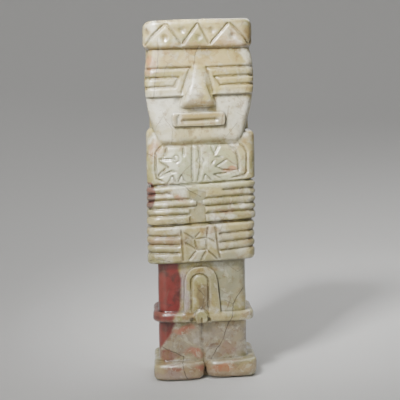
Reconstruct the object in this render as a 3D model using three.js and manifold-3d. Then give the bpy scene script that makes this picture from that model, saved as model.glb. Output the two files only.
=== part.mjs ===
// A standing effigy carved from one block of banded stone: headband with zigzag, mask-like face,
// breast panel, two bands of barred hands and belt, kilt with hem and knotted loincloth, legs, feet.
// Millimetres, +Z up, front towards -Y, origin in the middle of the footprint.

import * as THREE from 'three';
import { mergeVertices } from 'three/addons/utils/BufferGeometryUtils.js';
import Module from 'manifold-3d';

const wasm = await Module();
wasm.setup();

// Heights of the stacked blocks, from the soles up
const feetHeight = 15.2;
const legsHeight = 30.8;
const hemHeight = 9.2;
const skirtHeight = 39.6;
const beltHeight = 31.2;
const armsHeight = 31.6;
const chestHeight = 43.4;
const chinDrop = 12.8;
const faceHeight = 75.2;
const bandHeight = 23.6;
const seam = 0.8;

// Half widths and depths of the blocks
const feetHalf = 42.6;
const legsHalf = 36.6;
const hemHalf = 41.8;
const skirtHalf = 36.3;
const beltHalf = 44.2;
const armsHalf = 44.7;
const chestHalf = 44.3;
const neckHalf = 41;
const faceHalf = 44.1;
const bandHalf = 43.8;
const toeFront = 35.5;
const toeStep = 2.4;              // the right toes stop this far behind the left ones
const heelBack = 30.5;
const legsFront = 24.5;
const skirtFront = 25.5;
const hemFront = 29;
const beltFront = 30.6;
const armsFront = 29.8;
const chestFront = 28.4;
const throatFront = 22;
const cheekFront = 26.8;
const browFront = 29.6;
const bandFront = 33;
const neckFront = 8;
const legsBack = 25;
const bodyBack = 28.5;
const headBack = 28;
const bandBack = 31;

// How far the middle of each block stands to the right of the leaning centre line
const feetMiddle = 2.1;
const legsMiddle = 0.5;
const hemMiddle = 1.3;
const beltMiddle = 0.3;
const armsMiddle = 0.9;
const chestMiddle = 1.3;
const faceMiddle = 0.9;
const noseMiddle = -0.5;

// Carving
const bow = 0.09;               // share of the depth that the front loses towards its corners
const lean = 0.0175;            // sideways lean of the whole figure for each mm of height
const cut = 1.7;                // width of a carved line at the surface
const cutDepth = 1.0;
const fingerCut = 2.6;
const fingerDepth = 1.7;
const sharpTurn = Math.PI / 4;
const seamCoreInset = 3.6;      // how deep the seams between blocks run
const toeGap = 0.6;             // narrowest space between the two feet
const noseRise = 5;
const lipRise = 2.8;
const clothRise = 2.6;
const knotRise = 5.4;

// Levels worked out from the heights
const footTop = feetHeight;
const hemBottom = footTop + legsHeight;
const hemTop = hemBottom + hemHeight;
const beltBottom = hemTop + skirtHeight + seam;
const armsBottom = beltBottom + beltHeight + seam;
const chestBottom = armsBottom + armsHeight + seam;
const chestTop = chestBottom + chestHeight;
const chinBottom = chestTop - chinDrop;
const faceTop = chinBottom + faceHeight;
const crown = faceTop + bandHeight;
const midHeight = crown / 2;

// A closed triangle soup with shared corners, as a solid with its faces pointing out
function solidFrom(corners, triangles) {
  const geometry = new THREE.BufferGeometry();
  geometry.setAttribute('position', new THREE.Float32BufferAttribute(corners.flat(), 3));
  geometry.setIndex(triangles.flat());
  return solidOf(geometry);
}

function solidOf(geometry) {
  const bare = geometry.clone();
  bare.deleteAttribute('normal');
  bare.deleteAttribute('uv');
  const merged = mergeVertices(bare, 1e-4);
  const position = merged.getAttribute('position').array;
  const index = new Uint32Array(merged.index.array);
  const corner = (i) => new THREE.Vector3().fromArray(position, 3 * i);
  let sixVolumes = 0;
  for (let i = 0; i < index.length; i += 3) {
    sixVolumes += corner(index[i]).dot(corner(index[i + 1]).cross(corner(index[i + 2])));
  }
  if (sixVolumes < 0) {
    for (let i = 0; i < index.length; i += 3) {
      [index[i + 1], index[i + 2]] = [index[i + 2], index[i + 1]];
    }
  }
  return new wasm.Manifold(
    new wasm.Mesh({ numProp: 3, vertProperties: position, triVerts: index }),
  );
}

// Rings of equal length, joined into a closed skin
function skin(rings) {
  const count = rings[0].length;
  const corners = rings.flat();
  const triangles = [];
  for (let r = 0; r + 1 < rings.length; r += 1) {
    for (let i = 0; i < count; i += 1) {
      const a = r * count + i;
      const b = r * count + ((i + 1) % count);
      triangles.push([a, b, a + count], [b, b + count, a + count]);
    }
  }
  for (const [first, ring] of [[0, rings[0]], [(rings.length - 1) * count, rings.at(-1)]]) {
    const middle = corners.length;
    corners.push([0, 1, 2].map((k) => ring.reduce((sum, p) => sum + p[k], 0) / count));
    for (let i = 0; i < count; i += 1) {
      const edge = [first + ((i + 1) % count), first + i];
      triangles.push(first === 0 ? [...edge, middle] : [...edge.reverse(), middle]);
    }
  }
  return solidFrom(corners, triangles);
}

// Point and outward normal on a rounded oblong, at s mm round it from the middle of its front
function onSection(size, s) {
  const { half, front, back, corner } = size;
  const side = Math.sign(s) || 1;
  const quarter = (Math.PI / 2) * corner;
  const frontRun = half - corner;
  const sideRun = front + back - 2 * corner;
  let run = Math.abs(s);
  let at;
  if (run <= frontRun) {
    at = [run, -front, 0, -1];
  } else if ((run -= frontRun) <= quarter) {
    const turn = run / corner;
    const [sin, cos] = [Math.sin(turn), Math.cos(turn)];
    at = [frontRun + corner * sin, -front + corner - corner * cos, sin, -cos];
  } else if ((run -= quarter) <= sideRun) {
    at = [half, -front + corner + run, 1, 0];
  } else if ((run -= sideRun) <= quarter) {
    const turn = run / corner;
    const [sin, cos] = [Math.sin(turn), Math.cos(turn)];
    at = [frontRun + corner * cos, back - corner + corner * sin, cos, sin];
  } else {
    at = [frontRun - (run - quarter), back, 0, 1];
  }
  const [x, y, nx, ny] = at;
  return { x: side * x, y: y * (1 - bow * (x / half) ** 2), nx: side * nx, ny };
}

function halfGirth({ half, front, back, corner }) {
  return 2 * (half - corner) + front + back - 2 * corner + Math.PI * corner;
}

// Stops round a section: few on the flats, more on the corners
function stops(size) {
  const { half, front, back, corner } = size;
  const quarter = (Math.PI / 2) * corner;
  const frontRun = half - corner;
  const sideRun = front + back - 2 * corner;
  const marks = [0, frontRun * 0.4, frontRun * 0.75];
  for (const share of [0, 1 / 3, 2 / 3, 1]) marks.push(frontRun + quarter * share);
  for (const share of [0, 1 / 2, 1]) {
    marks.push(frontRun + quarter + sideRun + quarter * share);
  }
  const oneSide = marks.slice(1);
  return [...oneSide.map((s) => -s).reverse(), 0, ...oneSide, halfGirth(size)];
}

// A block of the figure. Its section may change with height, and its edges are rounded.
function block(spec) {
  const filled = { centre: 0, riseBottom: 0, riseTop: 0, edgeBottom: 3, edgeTop: 3, ...spec };
  filled.sizeAt ??= () => spec;
  filled.height = filled.top - filled.bottom;
  return filled;
}

// A point s mm round the block at height z, moved outwards by out
function onBlock(shape, s, z, out = 0, inset = 0) {
  const { half, front, back, corner } = shape.sizeAt(z);
  const size = {
    half: half - inset * (shape.sideRound ?? 1),
    front: front - inset,
    back: back - inset,
    corner: Math.max(corner - inset / 2, 1),
  };
  const share = size.half / half;
  const p = onSection(size, s * share);
  const x = shape.centre + p.x + out * p.nx;
  const up = (z - shape.bottom) / shape.height;
  const rise = shape.riseBottom + (shape.riseTop - shape.riseBottom) * up;
  return [x + lean * (z - midHeight), p.y + out * p.ny, z + rise * x];
}

function carvedBlock(shape) {
  const levels = [];
  for (const turn of [0, 40, 90]) {
    const angle = THREE.MathUtils.degToRad(turn);
    const inset = shape.edgeBottom * (1 - Math.sin(angle));
    levels.push([shape.bottom + (shape.stretch ?? 1) * shape.edgeBottom * (1 - Math.cos(angle)), inset]);
  }
  for (const z of shape.levels ?? []) levels.push([z, 0]);
  for (const turn of [90, 40, 0]) {
    const angle = THREE.MathUtils.degToRad(turn);
    const inset = shape.edgeTop * (1 - Math.sin(angle));
    levels.push([shape.top - shape.edgeTop * (1 - Math.cos(angle)), inset]);
  }
  const count = stops(shape.sizeAt(shape.bottom)).length;
  return skin(levels.map(([z, inset]) => {
    const marks = stops(shape.sizeAt(z)).slice(0, count);
    return marks.map((s) => onBlock(shape, s, z, 0, inset));
  }));
}

// A carved stroke: a V-shaped cutter that follows a path of [s, z] stops over the block's surface,
// with a ring wherever the path crosses an edge of the block's own facets, and a run-out at each end
function stroke(shape, path, width, depth) {
  const fine = [path[0]];
  for (let i = 1; i < path.length; i += 1) {
    const [from, to] = [path[i - 1], path[i]];
    const folds = stops(shape.sizeAt((from[1] + to[1]) / 2));
    const shares = [
      ...folds.map((s) => (s - from[0]) / (to[0] - from[0])),
      ...(shape.levels ?? []).map((z) => (z - from[1]) / (to[1] - from[1])),
    ];
    const length = Math.hypot(to[0] - from[0], to[1] - from[1]);
    let last = 0;
    for (const share of shares.filter((t) => t > 0 && t < 1).sort((a, b) => a - b)) {
      if ((share - last) * length > 1 && (1 - share) * length > 1) {
        fine.push([0, 1].map((k) => from[k] + (to[k] - from[k]) * share));
        last = share;
      }
    }
    fine.push(to);
  }
  const lift = 1.2;
  const reach = (width / 2) * (1 + lift / depth);
  const unit = (a, b) => new THREE.Vector2(b[0] - a[0], b[1] - a[1]).normalize();
  const ring = ([s, z], [ds, dz], deep) => [
    onBlock(shape, s + ds, z + dz, lift),
    onBlock(shape, s, z, -deep),
    onBlock(shape, s - ds, z - dz, lift),
  ];
  const rings = fine.map((p, i) => {
    const before = unit(fine[Math.max(i - 1, 0)], fine[Math.max(i, 1)]);
    const after = unit(fine[Math.min(i, fine.length - 2)], fine[Math.min(i + 1, fine.length - 1)]);
    const along = before.clone().add(after).normalize();
    const mitre = reach / along.dot(before);
    return ring(p, [-along.y * mitre, along.x * mitre], depth);
  });
  const runOut = (p, along) => ring(
    [p[0] + along.x * width * 0.7, p[1] + along.y * width * 0.7],
    [-along.y * reach * 0.3, along.x * reach * 0.3], -lift * 0.3,
  );
  const start = unit(fine[1], fine[0]);
  rings.unshift(runOut(fine[0], start).reverse());
  rings.push(runOut(fine.at(-1), unit(fine.at(-2), fine.at(-1))));
  return skin(rings);
}

// A carved line with sharp turns is cut as one stroke after the other
function lineCutter(shape, path, width = cut, depth = cutDepth) {
  const strokes = [];
  let run = [path[0]];
  for (let i = 1; i < path.length; i += 1) {
    run.push(path[i]);
    const before = new THREE.Vector2(path[i][0] - path[i - 1][0], path[i][1] - path[i - 1][1]);
    const next = path[i + 1] ?? path[i - 1];
    const after = new THREE.Vector2(next[0] - path[i][0], next[1] - path[i][1]);
    if (i === path.length - 1 || Math.abs(before.angleTo(after)) > sharpTurn) {
      strokes.push(stroke(shape, run, width, depth));
      run = [path[i]];
    }
  }
  return wasm.Manifold.union(strokes);
}

const lines = (shape, paths, ...size) => paths.map((path) => lineCutter(shape, path, ...size));

// Places on a block as shares: across in half widths from the middle, up in heights from its bottom
const spots = (shape, shares) => {
  const { half } = shape.sizeAt(shape.bottom + shape.height / 2);
  return shares.map(([across, up]) => [across * half, shape.bottom + up * shape.height]);
};

// Feet and legs
const feet = [-1, 1].map((side) => {
  const split = feetMiddle - 0.2;
  const inner = split + side * (toeGap / 2);
  const outer = feetMiddle + side * feetHalf;
  return block({
    bottom: 0, top: footTop, centre: (inner + outer) / 2, half: Math.abs(outer - inner) / 2,
    front: toeFront - (side > 0 ? toeStep : 0), back: heelBack, corner: 7, riseTop: 0.018,
    edgeBottom: side > 0 ? 6.2 : 5.2, edgeTop: 3.4,
  });
});
const web = block({
  bottom: 0, top: footTop - 2, centre: feetMiddle, half: 14, front: toeFront - 14, back: heelBack - 8,
  corner: 4, edgeBottom: 0.01, edgeTop: 2,
});
const legs = block({
  bottom: footTop / 2, top: hemTop, centre: legsMiddle, half: legsHalf, front: legsFront,
  back: legsBack, corner: 7,
});

// Kilt: hem and skirt
const hem = block({
  bottom: hemBottom, top: hemTop, centre: hemMiddle, half: hemHalf, front: hemFront,
  back: bodyBack, corner: 12,
  riseBottom: -0.012, riseTop: -0.018, edgeBottom: 2.4, edgeTop: 3,
});
const skirt = block({
  bottom: hemBottom + 2, top: beltBottom + 4, centre: legsMiddle, half: skirtHalf,
  front: skirtFront, back: legsBack, corner: 7,
});

// Belt, hands and breast, with the core that shows at the bottom of their seams
const belt = block({
  bottom: beltBottom, top: beltBottom + beltHeight, centre: beltMiddle, half: beltHalf, front: beltFront,
  back: bodyBack, corner: 9, riseBottom: 0.022, riseTop: 0.031, edgeBottom: 3.2, edgeTop: 3,
});
const arms = block({
  bottom: armsBottom, top: armsBottom + armsHeight, centre: armsMiddle, half: armsHalf, 
  front: armsFront, back: bodyBack, corner: 9, riseBottom: 0.031, riseTop: 0.032,
});
const chest = block({
  bottom: chestBottom, top: chestTop, centre: chestMiddle, riseBottom: 0.032, riseTop: -0.05,
  edgeBottom: 2.6, edgeTop: 6, levels: [chestBottom + chestHeight / 2],
  sizeAt: (z) => ({
    half: chestHalf, back: bodyBack, corner: 9,
    front: THREE.MathUtils.mapLinear(z, chestBottom, chestTop, chestFront, throatFront),
  }),
});
const core = block({
  bottom: beltBottom + 3, top: chestBottom + 8, centre: armsMiddle, half: beltHalf - seamCoreInset,
  front: armsFront - seamCoreInset, back: bodyBack - seamCoreInset, corner: 7,
});

// Head: face plate, back of the head with its hair, headband
const browLevel = chinBottom + faceHeight * 0.7;
const eyeBottom = chinBottom + faceHeight * 0.516;
const eyeTop = chinBottom + faceHeight * 0.822;
const templeTaper = 3.3;           // how much narrower the face is at its top, and at the chin
const jawTaper = 11.3;
function faceSize(z) {
  const [taper, reach] = z > browLevel
    ? [templeTaper, faceTop - browLevel] : [jawTaper, browLevel - chinBottom];
  return {
    half: faceHalf - taper * ((z - browLevel) / reach) ** 2,
    front: z < eyeBottom ? cheekFront : browFront, back: 2, corner: 6.5,
  };
}
const face = block({
  bottom: chinBottom, top: faceTop + 4, centre: faceMiddle, riseBottom: 0.024, riseTop: 0,
  edgeBottom: 5, edgeTop: 1, stretch: 1.5, sideRound: 0.35,
  sizeAt: faceSize,
  levels: [0.16, 0.28, 0.4, 0.49].map((share) => chinBottom + faceHeight * share)
    .concat([eyeBottom - 0.4, eyeBottom + 0.6])
    .concat([0.6, 0.7, 0.8, 0.9, 0.98].map((share) => chinBottom + faceHeight * share)),
});
const head = block({
  bottom: chestTop - 8, top: faceTop + 4, centre: faceMiddle, edgeBottom: 1, edgeTop: 1,
  levels: [0.32, 0.42, 0.56, 0.7].map((share) => chinBottom + faceHeight * share),
  sizeAt: (z) => ({
    half: neckHalf + 2 * THREE.MathUtils.smoothstep(z, chinBottom + 22, chinBottom + 44),
    front: neckFront, back: headBack - 3 + 3 * THREE.MathUtils.smoothstep(z, chestTop, chestTop + 20),
    corner: 8,
  }),
});
const band = block({
  bottom: faceTop, top: crown, half: bandHalf, front: bandFront, back: bandBack, corner: 10,
  riseBottom: -0.014, riseTop: -0.004, edgeBottom: 4, edgeTop: 4.6, sideRound: 1.5,
});

// Nose: a wedge that widens and rises towards its tip
function nose() {
  const rings = [
    [0.388, 14.8, 13, 0.3], [0.425, 14.4, 11.8, 1], [0.505, 12.2, 9, 0.94], [0.828, 6.2, 4.4, 0.1],
  ];
  return skin(rings.map(([up, wide, narrow, rise]) => {
    const z = chinBottom + faceHeight * up;
    const shift = lean * (z - midHeight) + noseMiddle;
    const y = -THREE.MathUtils.lerp(browFront, cheekFront + noseRise + 2.6, rise);
    return [[-wide, -20], [-wide + 0.6, -cheekFront + 0.6], [-narrow, y], [narrow, y],
      [wide - 0.6, -cheekFront + 0.6], [wide, -20]].map(([x, depth]) => [x + shift, depth, z]);
  }));
}

// A flat shape in the front plane, pushed out to a depth, with its front edge bevelled
function plaque(shape, y, thick, bevel) {
  const geometry = new THREE.ExtrudeGeometry(shape, {
    depth: thick, bevelThickness: bevel, bevelSize: bevel, bevelOffset: -bevel, bevelSegments: 2,
    curveSegments: 4,
  });
  geometry.rotateX(Math.PI / 2);
  geometry.translate(0, y + thick + bevel, 0);
  return solidOf(geometry);
}

function roundedBox(left, right, low, high, r) {
  const outline = new THREE.Shape();
  outline.moveTo(left + r, low);
  outline.lineTo(right - r, low);
  outline.quadraticCurveTo(right, low, right, low + r);
  outline.lineTo(right, high - r);
  outline.quadraticCurveTo(right, high, right - r, high);
  outline.lineTo(left + r, high);
  outline.quadraticCurveTo(left, high, left, high - r);
  outline.lineTo(left, low + r);
  outline.quadraticCurveTo(left, low, left + r, low);
  return outline;
}

const mouthMiddle = 0.4;
const mouthHalf = 22.3;
const mouthLow = chinBottom + faceHeight * 0.178;
const mouthHigh = chinBottom + faceHeight * 0.323;
function mouth() {
  const outline = roundedBox(
    mouthMiddle - mouthHalf, mouthMiddle + mouthHalf, mouthLow, mouthHigh, 3,
  );
  return plaque(outline, -cheekFront - lipRise, 6, 1);
}

// Loincloth: an arch that rises from the hem, with a tongue in it and a knot below
const clothMiddle = -1.6;
const knotMiddle = -2.1;
const archHalf = 14.2;
const tongueHalf = 6.9;
const archTop = beltBottom - 2.6;
const tongueTop = beltBottom - 9.6;
function arch() {
  const outline = new THREE.Shape();
  outline.moveTo(clothMiddle - archHalf - 1, hemBottom + 2);
  outline.lineTo(clothMiddle + archHalf + 2, hemBottom + 2);
  outline.lineTo(clothMiddle + archHalf, archTop - archHalf - 4);
  outline.quadraticCurveTo(clothMiddle + archHalf, archTop, clothMiddle, archTop);
  outline.quadraticCurveTo(
    clothMiddle - archHalf, archTop, clothMiddle - archHalf, archTop - archHalf - 4,
  );
  outline.closePath();
  return plaque(outline, -skirtFront - clothRise, 6, 0.8);
}

function knot() {
  const half = 6.3;
  const low = hemBottom - 0.2;
  const high = hemTop + 2.6;
  const outline = new THREE.Shape();
  outline.moveTo(knotMiddle - half + 2, low);
  outline.lineTo(knotMiddle + half - 2, low);
  outline.lineTo(knotMiddle + half, low + 3);
  outline.quadraticCurveTo(knotMiddle + half, high, knotMiddle, high);
  outline.quadraticCurveTo(knotMiddle - half, high, knotMiddle - half, low + 3);
  outline.closePath();
  return plaque(outline, -skirtFront - knotRise, 7, 1.6);
}

// Zigzag round the headband: seven turns across the front, cut freehand, then even ones round the
// back, with drilled dots in the front triangles
const zigzagFront = [-44.5, -24.8, -12.7, 0.2, 9.2, 24.8, 42];
const backTurns = 9;
const dotRadius = 4;
const dotDepth = 0.95;
function bandCarving() {
  const [low, high] = [band.bottom + bandHeight * 0.13, band.top - bandHeight * 0.15];
  const path = zigzagFront.map((s, turn) => [s, turn % 2 ? high : low]);
  const from = zigzagFront.at(-1);
  const rest = 2 * halfGirth(band.sizeAt(0)) - from + zigzagFront[0];
  const girth = halfGirth(band.sizeAt(0));
  for (let turn = 1; turn <= backTurns; turn += 1) {
    const s = from + (rest * turn) / (backTurns + 1);
    path.push([s, turn % 2 ? high : low]);
  }
  const legs = path.map((turn, i) => [turn, path[i + 1] ?? [from + rest, low]]);
  const cutters = legs.map(([a, b]) => {
    const turned = (a[0] + b[0]) / 2 > girth ? 2 * girth : 0;
    return lineCutter(band, [[a[0] - turned, a[1]], [b[0] - turned, b[1]]]);
  });
  const dots = [
    [-26.5, 0.34], [0.4, 0.36], [27, 0.38], [-12.9, 0.68], [11, 0.64], [-41.5, 0.62],
  ];
  for (const [s, up] of dots) {
    const dot = new THREE.IcosahedronGeometry(dotRadius, 1);
    dot.translate(...onBlock(band, s, low + (high - low) * up, dotRadius - dotDepth));
    cutters.push(solidOf(dot));
  }
  return cutters;
}

// Eyes: a raised frame between two channels, run off round the sides of the face, with a raised bar
// for the pupil
const eyeChannel = 3.2;
const pupilChannel = 2.8;
const eyeDepth = 1.4;
function eyeCarving() {
  const wrap = faceHalf + 3;
  const height = eyeTop - eyeBottom;
  const level = (share) => eyeBottom + share * height;
  const eyes = [
    { side: -1, frame: [7.3, 14.6], pupil: [17, 19.7], lift: 0.02 },
    { side: 1, frame: [5.8, 11.2], pupil: [12.3, 16.3], lift: 0 },
  ];
  return eyes.flatMap(({ side, frame, pupil, lift }) => [
    lineCutter(face, [
      [side * wrap, level(0.94 + lift)], [side * frame[0], level(0.93 + lift)],
      [side * frame[1], level(0.07)],
    ], eyeChannel, eyeDepth),
    lineCutter(face, [
      [side * wrap, level(0.625 + lift)], [side * pupil[0], level(0.615 + lift)],
      [side * pupil[1], level(0.33)], [side * wrap, level(0.33)],
    ], pupilChannel, eyeDepth),
  ]);
}

// Breast panel: a narrow strip, two barbed figures and a rounded frame at each shoulder
function chestCarving() {
  const strip = [
    [[-0.158, 0], [-0.165, 0.42], [-0.156, 0.72]],
    [[-0.072, 0], [-0.014, 0.31], [-0.025, 0.47], [-0.052, 0.72]],
  ];
  const barbs = [
    [[-0.606, 0.7], [-0.66, 0.49]],
    [[-0.773, 0.454], [-0.48, 0.447], [-0.475, 0.51]],
    [[-0.76, 0.424], [-0.61, 0.31], [-0.78, 0.167]],
    [[-0.77, 0.15], [-0.625, 0.203], [-0.535, 0.234], [-0.454, 0.221]],
    [[-0.62, 0.01], [-0.52, 0.145], [-0.453, 0.01]],
    [[-0.44, 0.01], [-0.36, 0.154], [-0.273, 0.01]],
    [[-0.313, 0.71], [-0.318, 0.5]],
    [[0.169, 0.72], [0.243, 0.531], [0.34, 0.72]],
    [[0.245, 0.469], [0.39, 0.47]],
    [[0.244, 0.419], [0.179, 0.337]],
    [[0.461, 0.41], [0.269, 0.29], [0.385, 0.218], [0.63, 0.198]],
    [[0.51, 0.165], [0.235, 0.135], [0.372, 0.045]],
    [[0.019, 0.01], [0.067, 0.148], [0.191, 0.02]],
  ];
  const frames = [
    [[0.432, 0.735], [0.539, 0.676], [0.637, 0.577], [0.67, 0.43], [0.68, 0.17]],
    [[0.677, 0.751], [0.775, 0.642], [0.84, 0.54], [0.83, 0.149], [0.774, 0.093], [0.527, 0.053]],
    [[-0.7, 0.7], [-0.82, 0.56], [-0.84, 0.27], [-0.816, 0.126], [-0.7, 0.06]],
  ];
  return [
    ...lines(chest, strip.map((path) => spots(chest, path))),
    ...lines(chest, barbs.map((path) => spots(chest, path)), cut * 0.85, cutDepth * 0.8),
    ...lines(chest, frames.map((path) => spots(chest, path))),
  ];
}

// Hands: raised bars for the fingers, run on round the flanks, with a sunk strip where they meet
const palmSink = 1;
function handCarving() {
  const flank = 1.55 * armsHalf;
  const fingers = [
    [0.804, -0.547, 0.382], [0.62, -0.16, 0.03], [0.425, -0.1, 0.03], [0.238, -0.16, 0.03],
  ];
  const paths = fingers.flatMap(([up, left, right]) => {
    const z = armsBottom + up * armsHeight;
    return [[[-flank, z], [left * armsHalf, z]], [[flank, z], [right * armsHalf, z]]];
  });
  const strip = [
    [-0.205, -0.04], [-0.205, 0.425], [-0.085, 0.44], [-0.07, 0.51], [-0.085, 0.6], [-0.2, 0.62],
    [-0.2, 0.8], [-0.08, 0.83], [0.065, 0.78], [0.065, 0.6], [0.015, 0.58], [0.01, 0.48],
    [0.06, 0.45], [0.06, -0.04],
  ];
  const outline = new THREE.Shape(strip.map(([across, up]) => {
    const [x, , z] = onBlock(arms, across * armsHalf, armsBottom + up * armsHeight);
    return new THREE.Vector2(x, z);
  }));
  const sunk = new THREE.ExtrudeGeometry(outline, { depth: 10, bevelEnabled: false });
  sunk.rotateX(Math.PI / 2);
  sunk.translate(0, -armsFront + palmSink, 0);
  return [...lines(arms, paths, fingerCut, fingerDepth), solidOf(sunk)];
}

// Belt: bars on each side of a square panel that holds a rayed star
function beltCarving() {
  const flank = halfGirth(belt.sizeAt(0)) + 1;
  const bars = [0.71, 0.49, 0.28].flatMap((up) => {
    const [inner, outer] = [beltBottom + up * beltHeight, beltBottom + (up + 0.05) * beltHeight];
    return [
      [[-flank, outer], [-beltHalf, outer], [-17, inner]],
      [[13.5, inner], [beltHalf, outer], [flank, outer]],
    ];
  });
  const panel = [
    [[-0.365, 0.9], [-0.343, 0.37], [-0.333, 0.03]],
    [[0.262, 0.97], [0.285, 0.57], [0.31, 0.31], [0.344, 0.06]],
  ];
  const square = [[-0.13, 0.635], [0.098, 0.645], [0.095, 0.345], [-0.083, 0.345]];
  const rays = [
    [0, [-0.328, 0.825]], [0, [-0.03, 0.81]], [1, [0.13, 0.97]], [1, [0.255, 0.51]],
    [2, [0.3, 0.05]], [2, [-0.021, 0.04]], [3, [-0.24, 0.08]], [3, [-0.3, 0.545]],
  ];
  return [
    ...lines(belt, bars, fingerCut, fingerDepth),
    ...lines(belt, panel.map((path) => spots(belt, path))),
    lineCutter(belt, spots(belt, [...square, square[0]]), cut * 0.9, cutDepth * 0.9),
    ...lines(
      belt, rays.map(([from, to]) => spots(belt, [square[from], to])), cut * 0.9, cutDepth * 0.9,
    ),
  ];
}

// Plain back: locks of hair below the headband
function hairCarving() {
  const locks = 7;
  const size = head.sizeAt(faceTop);
  const girth = halfGirth(size);
  const paths = [];
  for (let lock = 0; lock <= locks; lock += 1) {
    const s = girth + (lock / locks - 0.5) * 1.7 * size.half;
    const round = s > girth ? s - 2 * girth : s;
    paths.push([[round, chestTop + 3], [round, faceTop - 1]]);
  }
  return lines(head, paths);
}

// Lines that the cloth and legs need, as straight cutters in the front plane
function clothCarving() {
  const rim = block({
    bottom: hemBottom, top: archTop, centre: clothMiddle, half: 40, front: skirtFront + clothRise,
    back: 20, corner: 5,
  });
  const tongue = [[-tongueHalf, hemTop + 1], [-tongueHalf, tongueTop - 6.5]];
  const turns = 5;
  for (let turn = 1; turn < turns; turn += 1) {
    const angle = (Math.PI * turn) / turns;
    tongue.push([-tongueHalf * Math.cos(angle), tongueTop - 6.5 + 6.5 * Math.sin(angle)]);
  }
  tongue.push([tongueHalf, tongueTop - 6.5], [tongueHalf, hemTop + 1]);
  const notches = [-1, 1].map((side) => [
    [side * 6.6, hemBottom - 2], [side * 6.6, hemBottom + 2.6],
  ]);
  const slot = { ...rim, front: skirtFront + knotRise };
  slot.sizeAt = () => slot;
  return [
    lineCutter(rim, tongue, 2, 1.5),
    ...lines(rim, notches, 4.4, 6),
    lineCutter(slot, [[1, hemBottom - 1], [1, hemBottom + 5]], 1.4, 1.6),
  ];
}

function legCarving() {
  const front = [[0.1, footTop - 4], [-1, hemBottom + 1]];
  const girth = halfGirth(legs.sizeAt(0));
  const rear = [[girth, footTop - 4], [girth, hemBottom + 1]];
  return lines(legs, [front, rear], 2.4, 1.5);
}

const raised = [
  ...feet.map(carvedBlock), ...[web, legs, hem, skirt, belt, arms, chest, core].map(carvedBlock),
  ...[face, head, band].map(carvedBlock), nose(), mouth(), arch(), knot(),
];
const slit = lineCutter(
  { ...face, sizeAt: (z) => ({ ...faceSize(z), half: faceHalf, front: cheekFront + lipRise }) },
  [[-16.5, (mouthLow + mouthHigh) / 2 + 0.4], [13.5, (mouthLow + mouthHigh) / 2 + 0.4]], 2, 1.4,
);
const carved = [
  ...bandCarving(), ...eyeCarving(), ...chestCarving(), ...handCarving(), ...beltCarving(),
  ...hairCarving(), ...clothCarving(), ...legCarving(), slit,
];

// The cuts leave needle-thin facets: their short edges are closed and their long ones turned
const shortestEdge = 0.08;
const leastHeight = 0.03;
function tidied({ vertProperties, triVerts }) {
  const points = [];
  for (let i = 0; i < vertProperties.length; i += 3) {
    points.push(new THREE.Vector3().fromArray(vertProperties, i));
  }
  const faces = [];
  for (let i = 0; i < triVerts.length; i += 3) faces.push([...triVerts.slice(i, i + 3)]);
  const around = points.map(() => new Set());
  faces.forEach((face, i) => face.forEach((v) => around[v].add(i)));

  const length = (u, v) => points[u].distanceTo(points[v]);
  const normal = ([a, b, c]) => points[b].clone().sub(points[a]).cross(points[c].clone().sub(points[a]));
  const beside = (v) => new Set([...around[v]].flatMap((i) => faces[i]).filter((w) => w !== v));
  const heightOf = (face) => normal(face).length() / Math.max(
    length(face[0], face[1]), length(face[1], face[2]), length(face[2], face[0]),
  );
  const set = (i, face) => {
    faces[i]?.forEach((v) => around[v].delete(i));
    faces[i] = face;
    face?.forEach((v) => around[v].add(i));
  };

  function close(u, v) {
    const next = beside(v);
    if ([...beside(u)].filter((w) => next.has(w)).length !== 2) return false;
    const moved = [...around[u]].filter((i) => !faces[i].includes(v));
    const after = moved.map((i) => faces[i].map((w) => (w === u ? v : w)));
    const fine = moved.every((i, k) => normal(faces[i]).dot(normal(after[k])) > 0);
    if (!fine) return false;
    for (const i of [...around[u]].filter((f) => faces[f].includes(v))) set(i, null);
    moved.forEach((i, k) => set(i, after[k]));
    return true;
  }

  function turn(i) {
    const face = faces[i];
    const spans = [0, 1, 2].map((k) => length(face[k], face[(k + 1) % 3]));
    const k = spans.indexOf(Math.max(...spans));
    const [a, b, c] = [face[k], face[(k + 1) % 3], face[(k + 2) % 3]];
    const other = [...around[a]].find((f) => f !== i && around[b].has(f));
    const d = faces[other].find((v) => v !== a && v !== b);
    const [one, two] = [[c, a, d], [d, b, c]];
    const facing = normal(faces[other]);
    if (beside(c).has(d) || normal(one).dot(facing) <= 0 || normal(two).dot(facing) <= 0) return;
    if (Math.min(heightOf(one), heightOf(two)) <= heightOf(face)) return;
    set(i, one);
    set(other, two);
  }

  for (let pass = 0; pass < 8; pass += 1) {
    for (let i = 0; i < faces.length; i += 1) {
      const face = faces[i];
      if (!face) continue;
      const edge = [0, 1, 2].map((k) => [face[k], face[(k + 1) % 3]])
        .find(([u, v]) => length(u, v) < shortestEdge);
      if (edge && (close(edge[0], edge[1]) || close(edge[1], edge[0]))) continue;
      if (heightOf(face) < leastHeight) turn(i);
    }
  }
  const tidy = new THREE.BufferGeometry().setFromPoints(points);
  tidy.setIndex(faces.filter(Boolean).flat());
  return mergeVertices(tidy.toNonIndexed(), 1e-5);
}

const geometry = tidied(wasm.Manifold.union(raised).subtract(wasm.Manifold.union(carved)).getMesh());
geometry.computeVertexNormals();
geometry.computeBoundingBox();
const middle = geometry.boundingBox.getCenter(new THREE.Vector3());

const stone = new THREE.MeshStandardMaterial({ color: 0xc9c3a4, roughness: 0.34, metalness: 0 });
const statue = new THREE.Mesh(geometry, stone);
statue.name = 'carved_stone_figure';
statue.position.set(-middle.x, -middle.y, -geometry.boundingBox.min.z);

const figure = new THREE.Group();
figure.add(statue);

export default figure;
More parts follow.
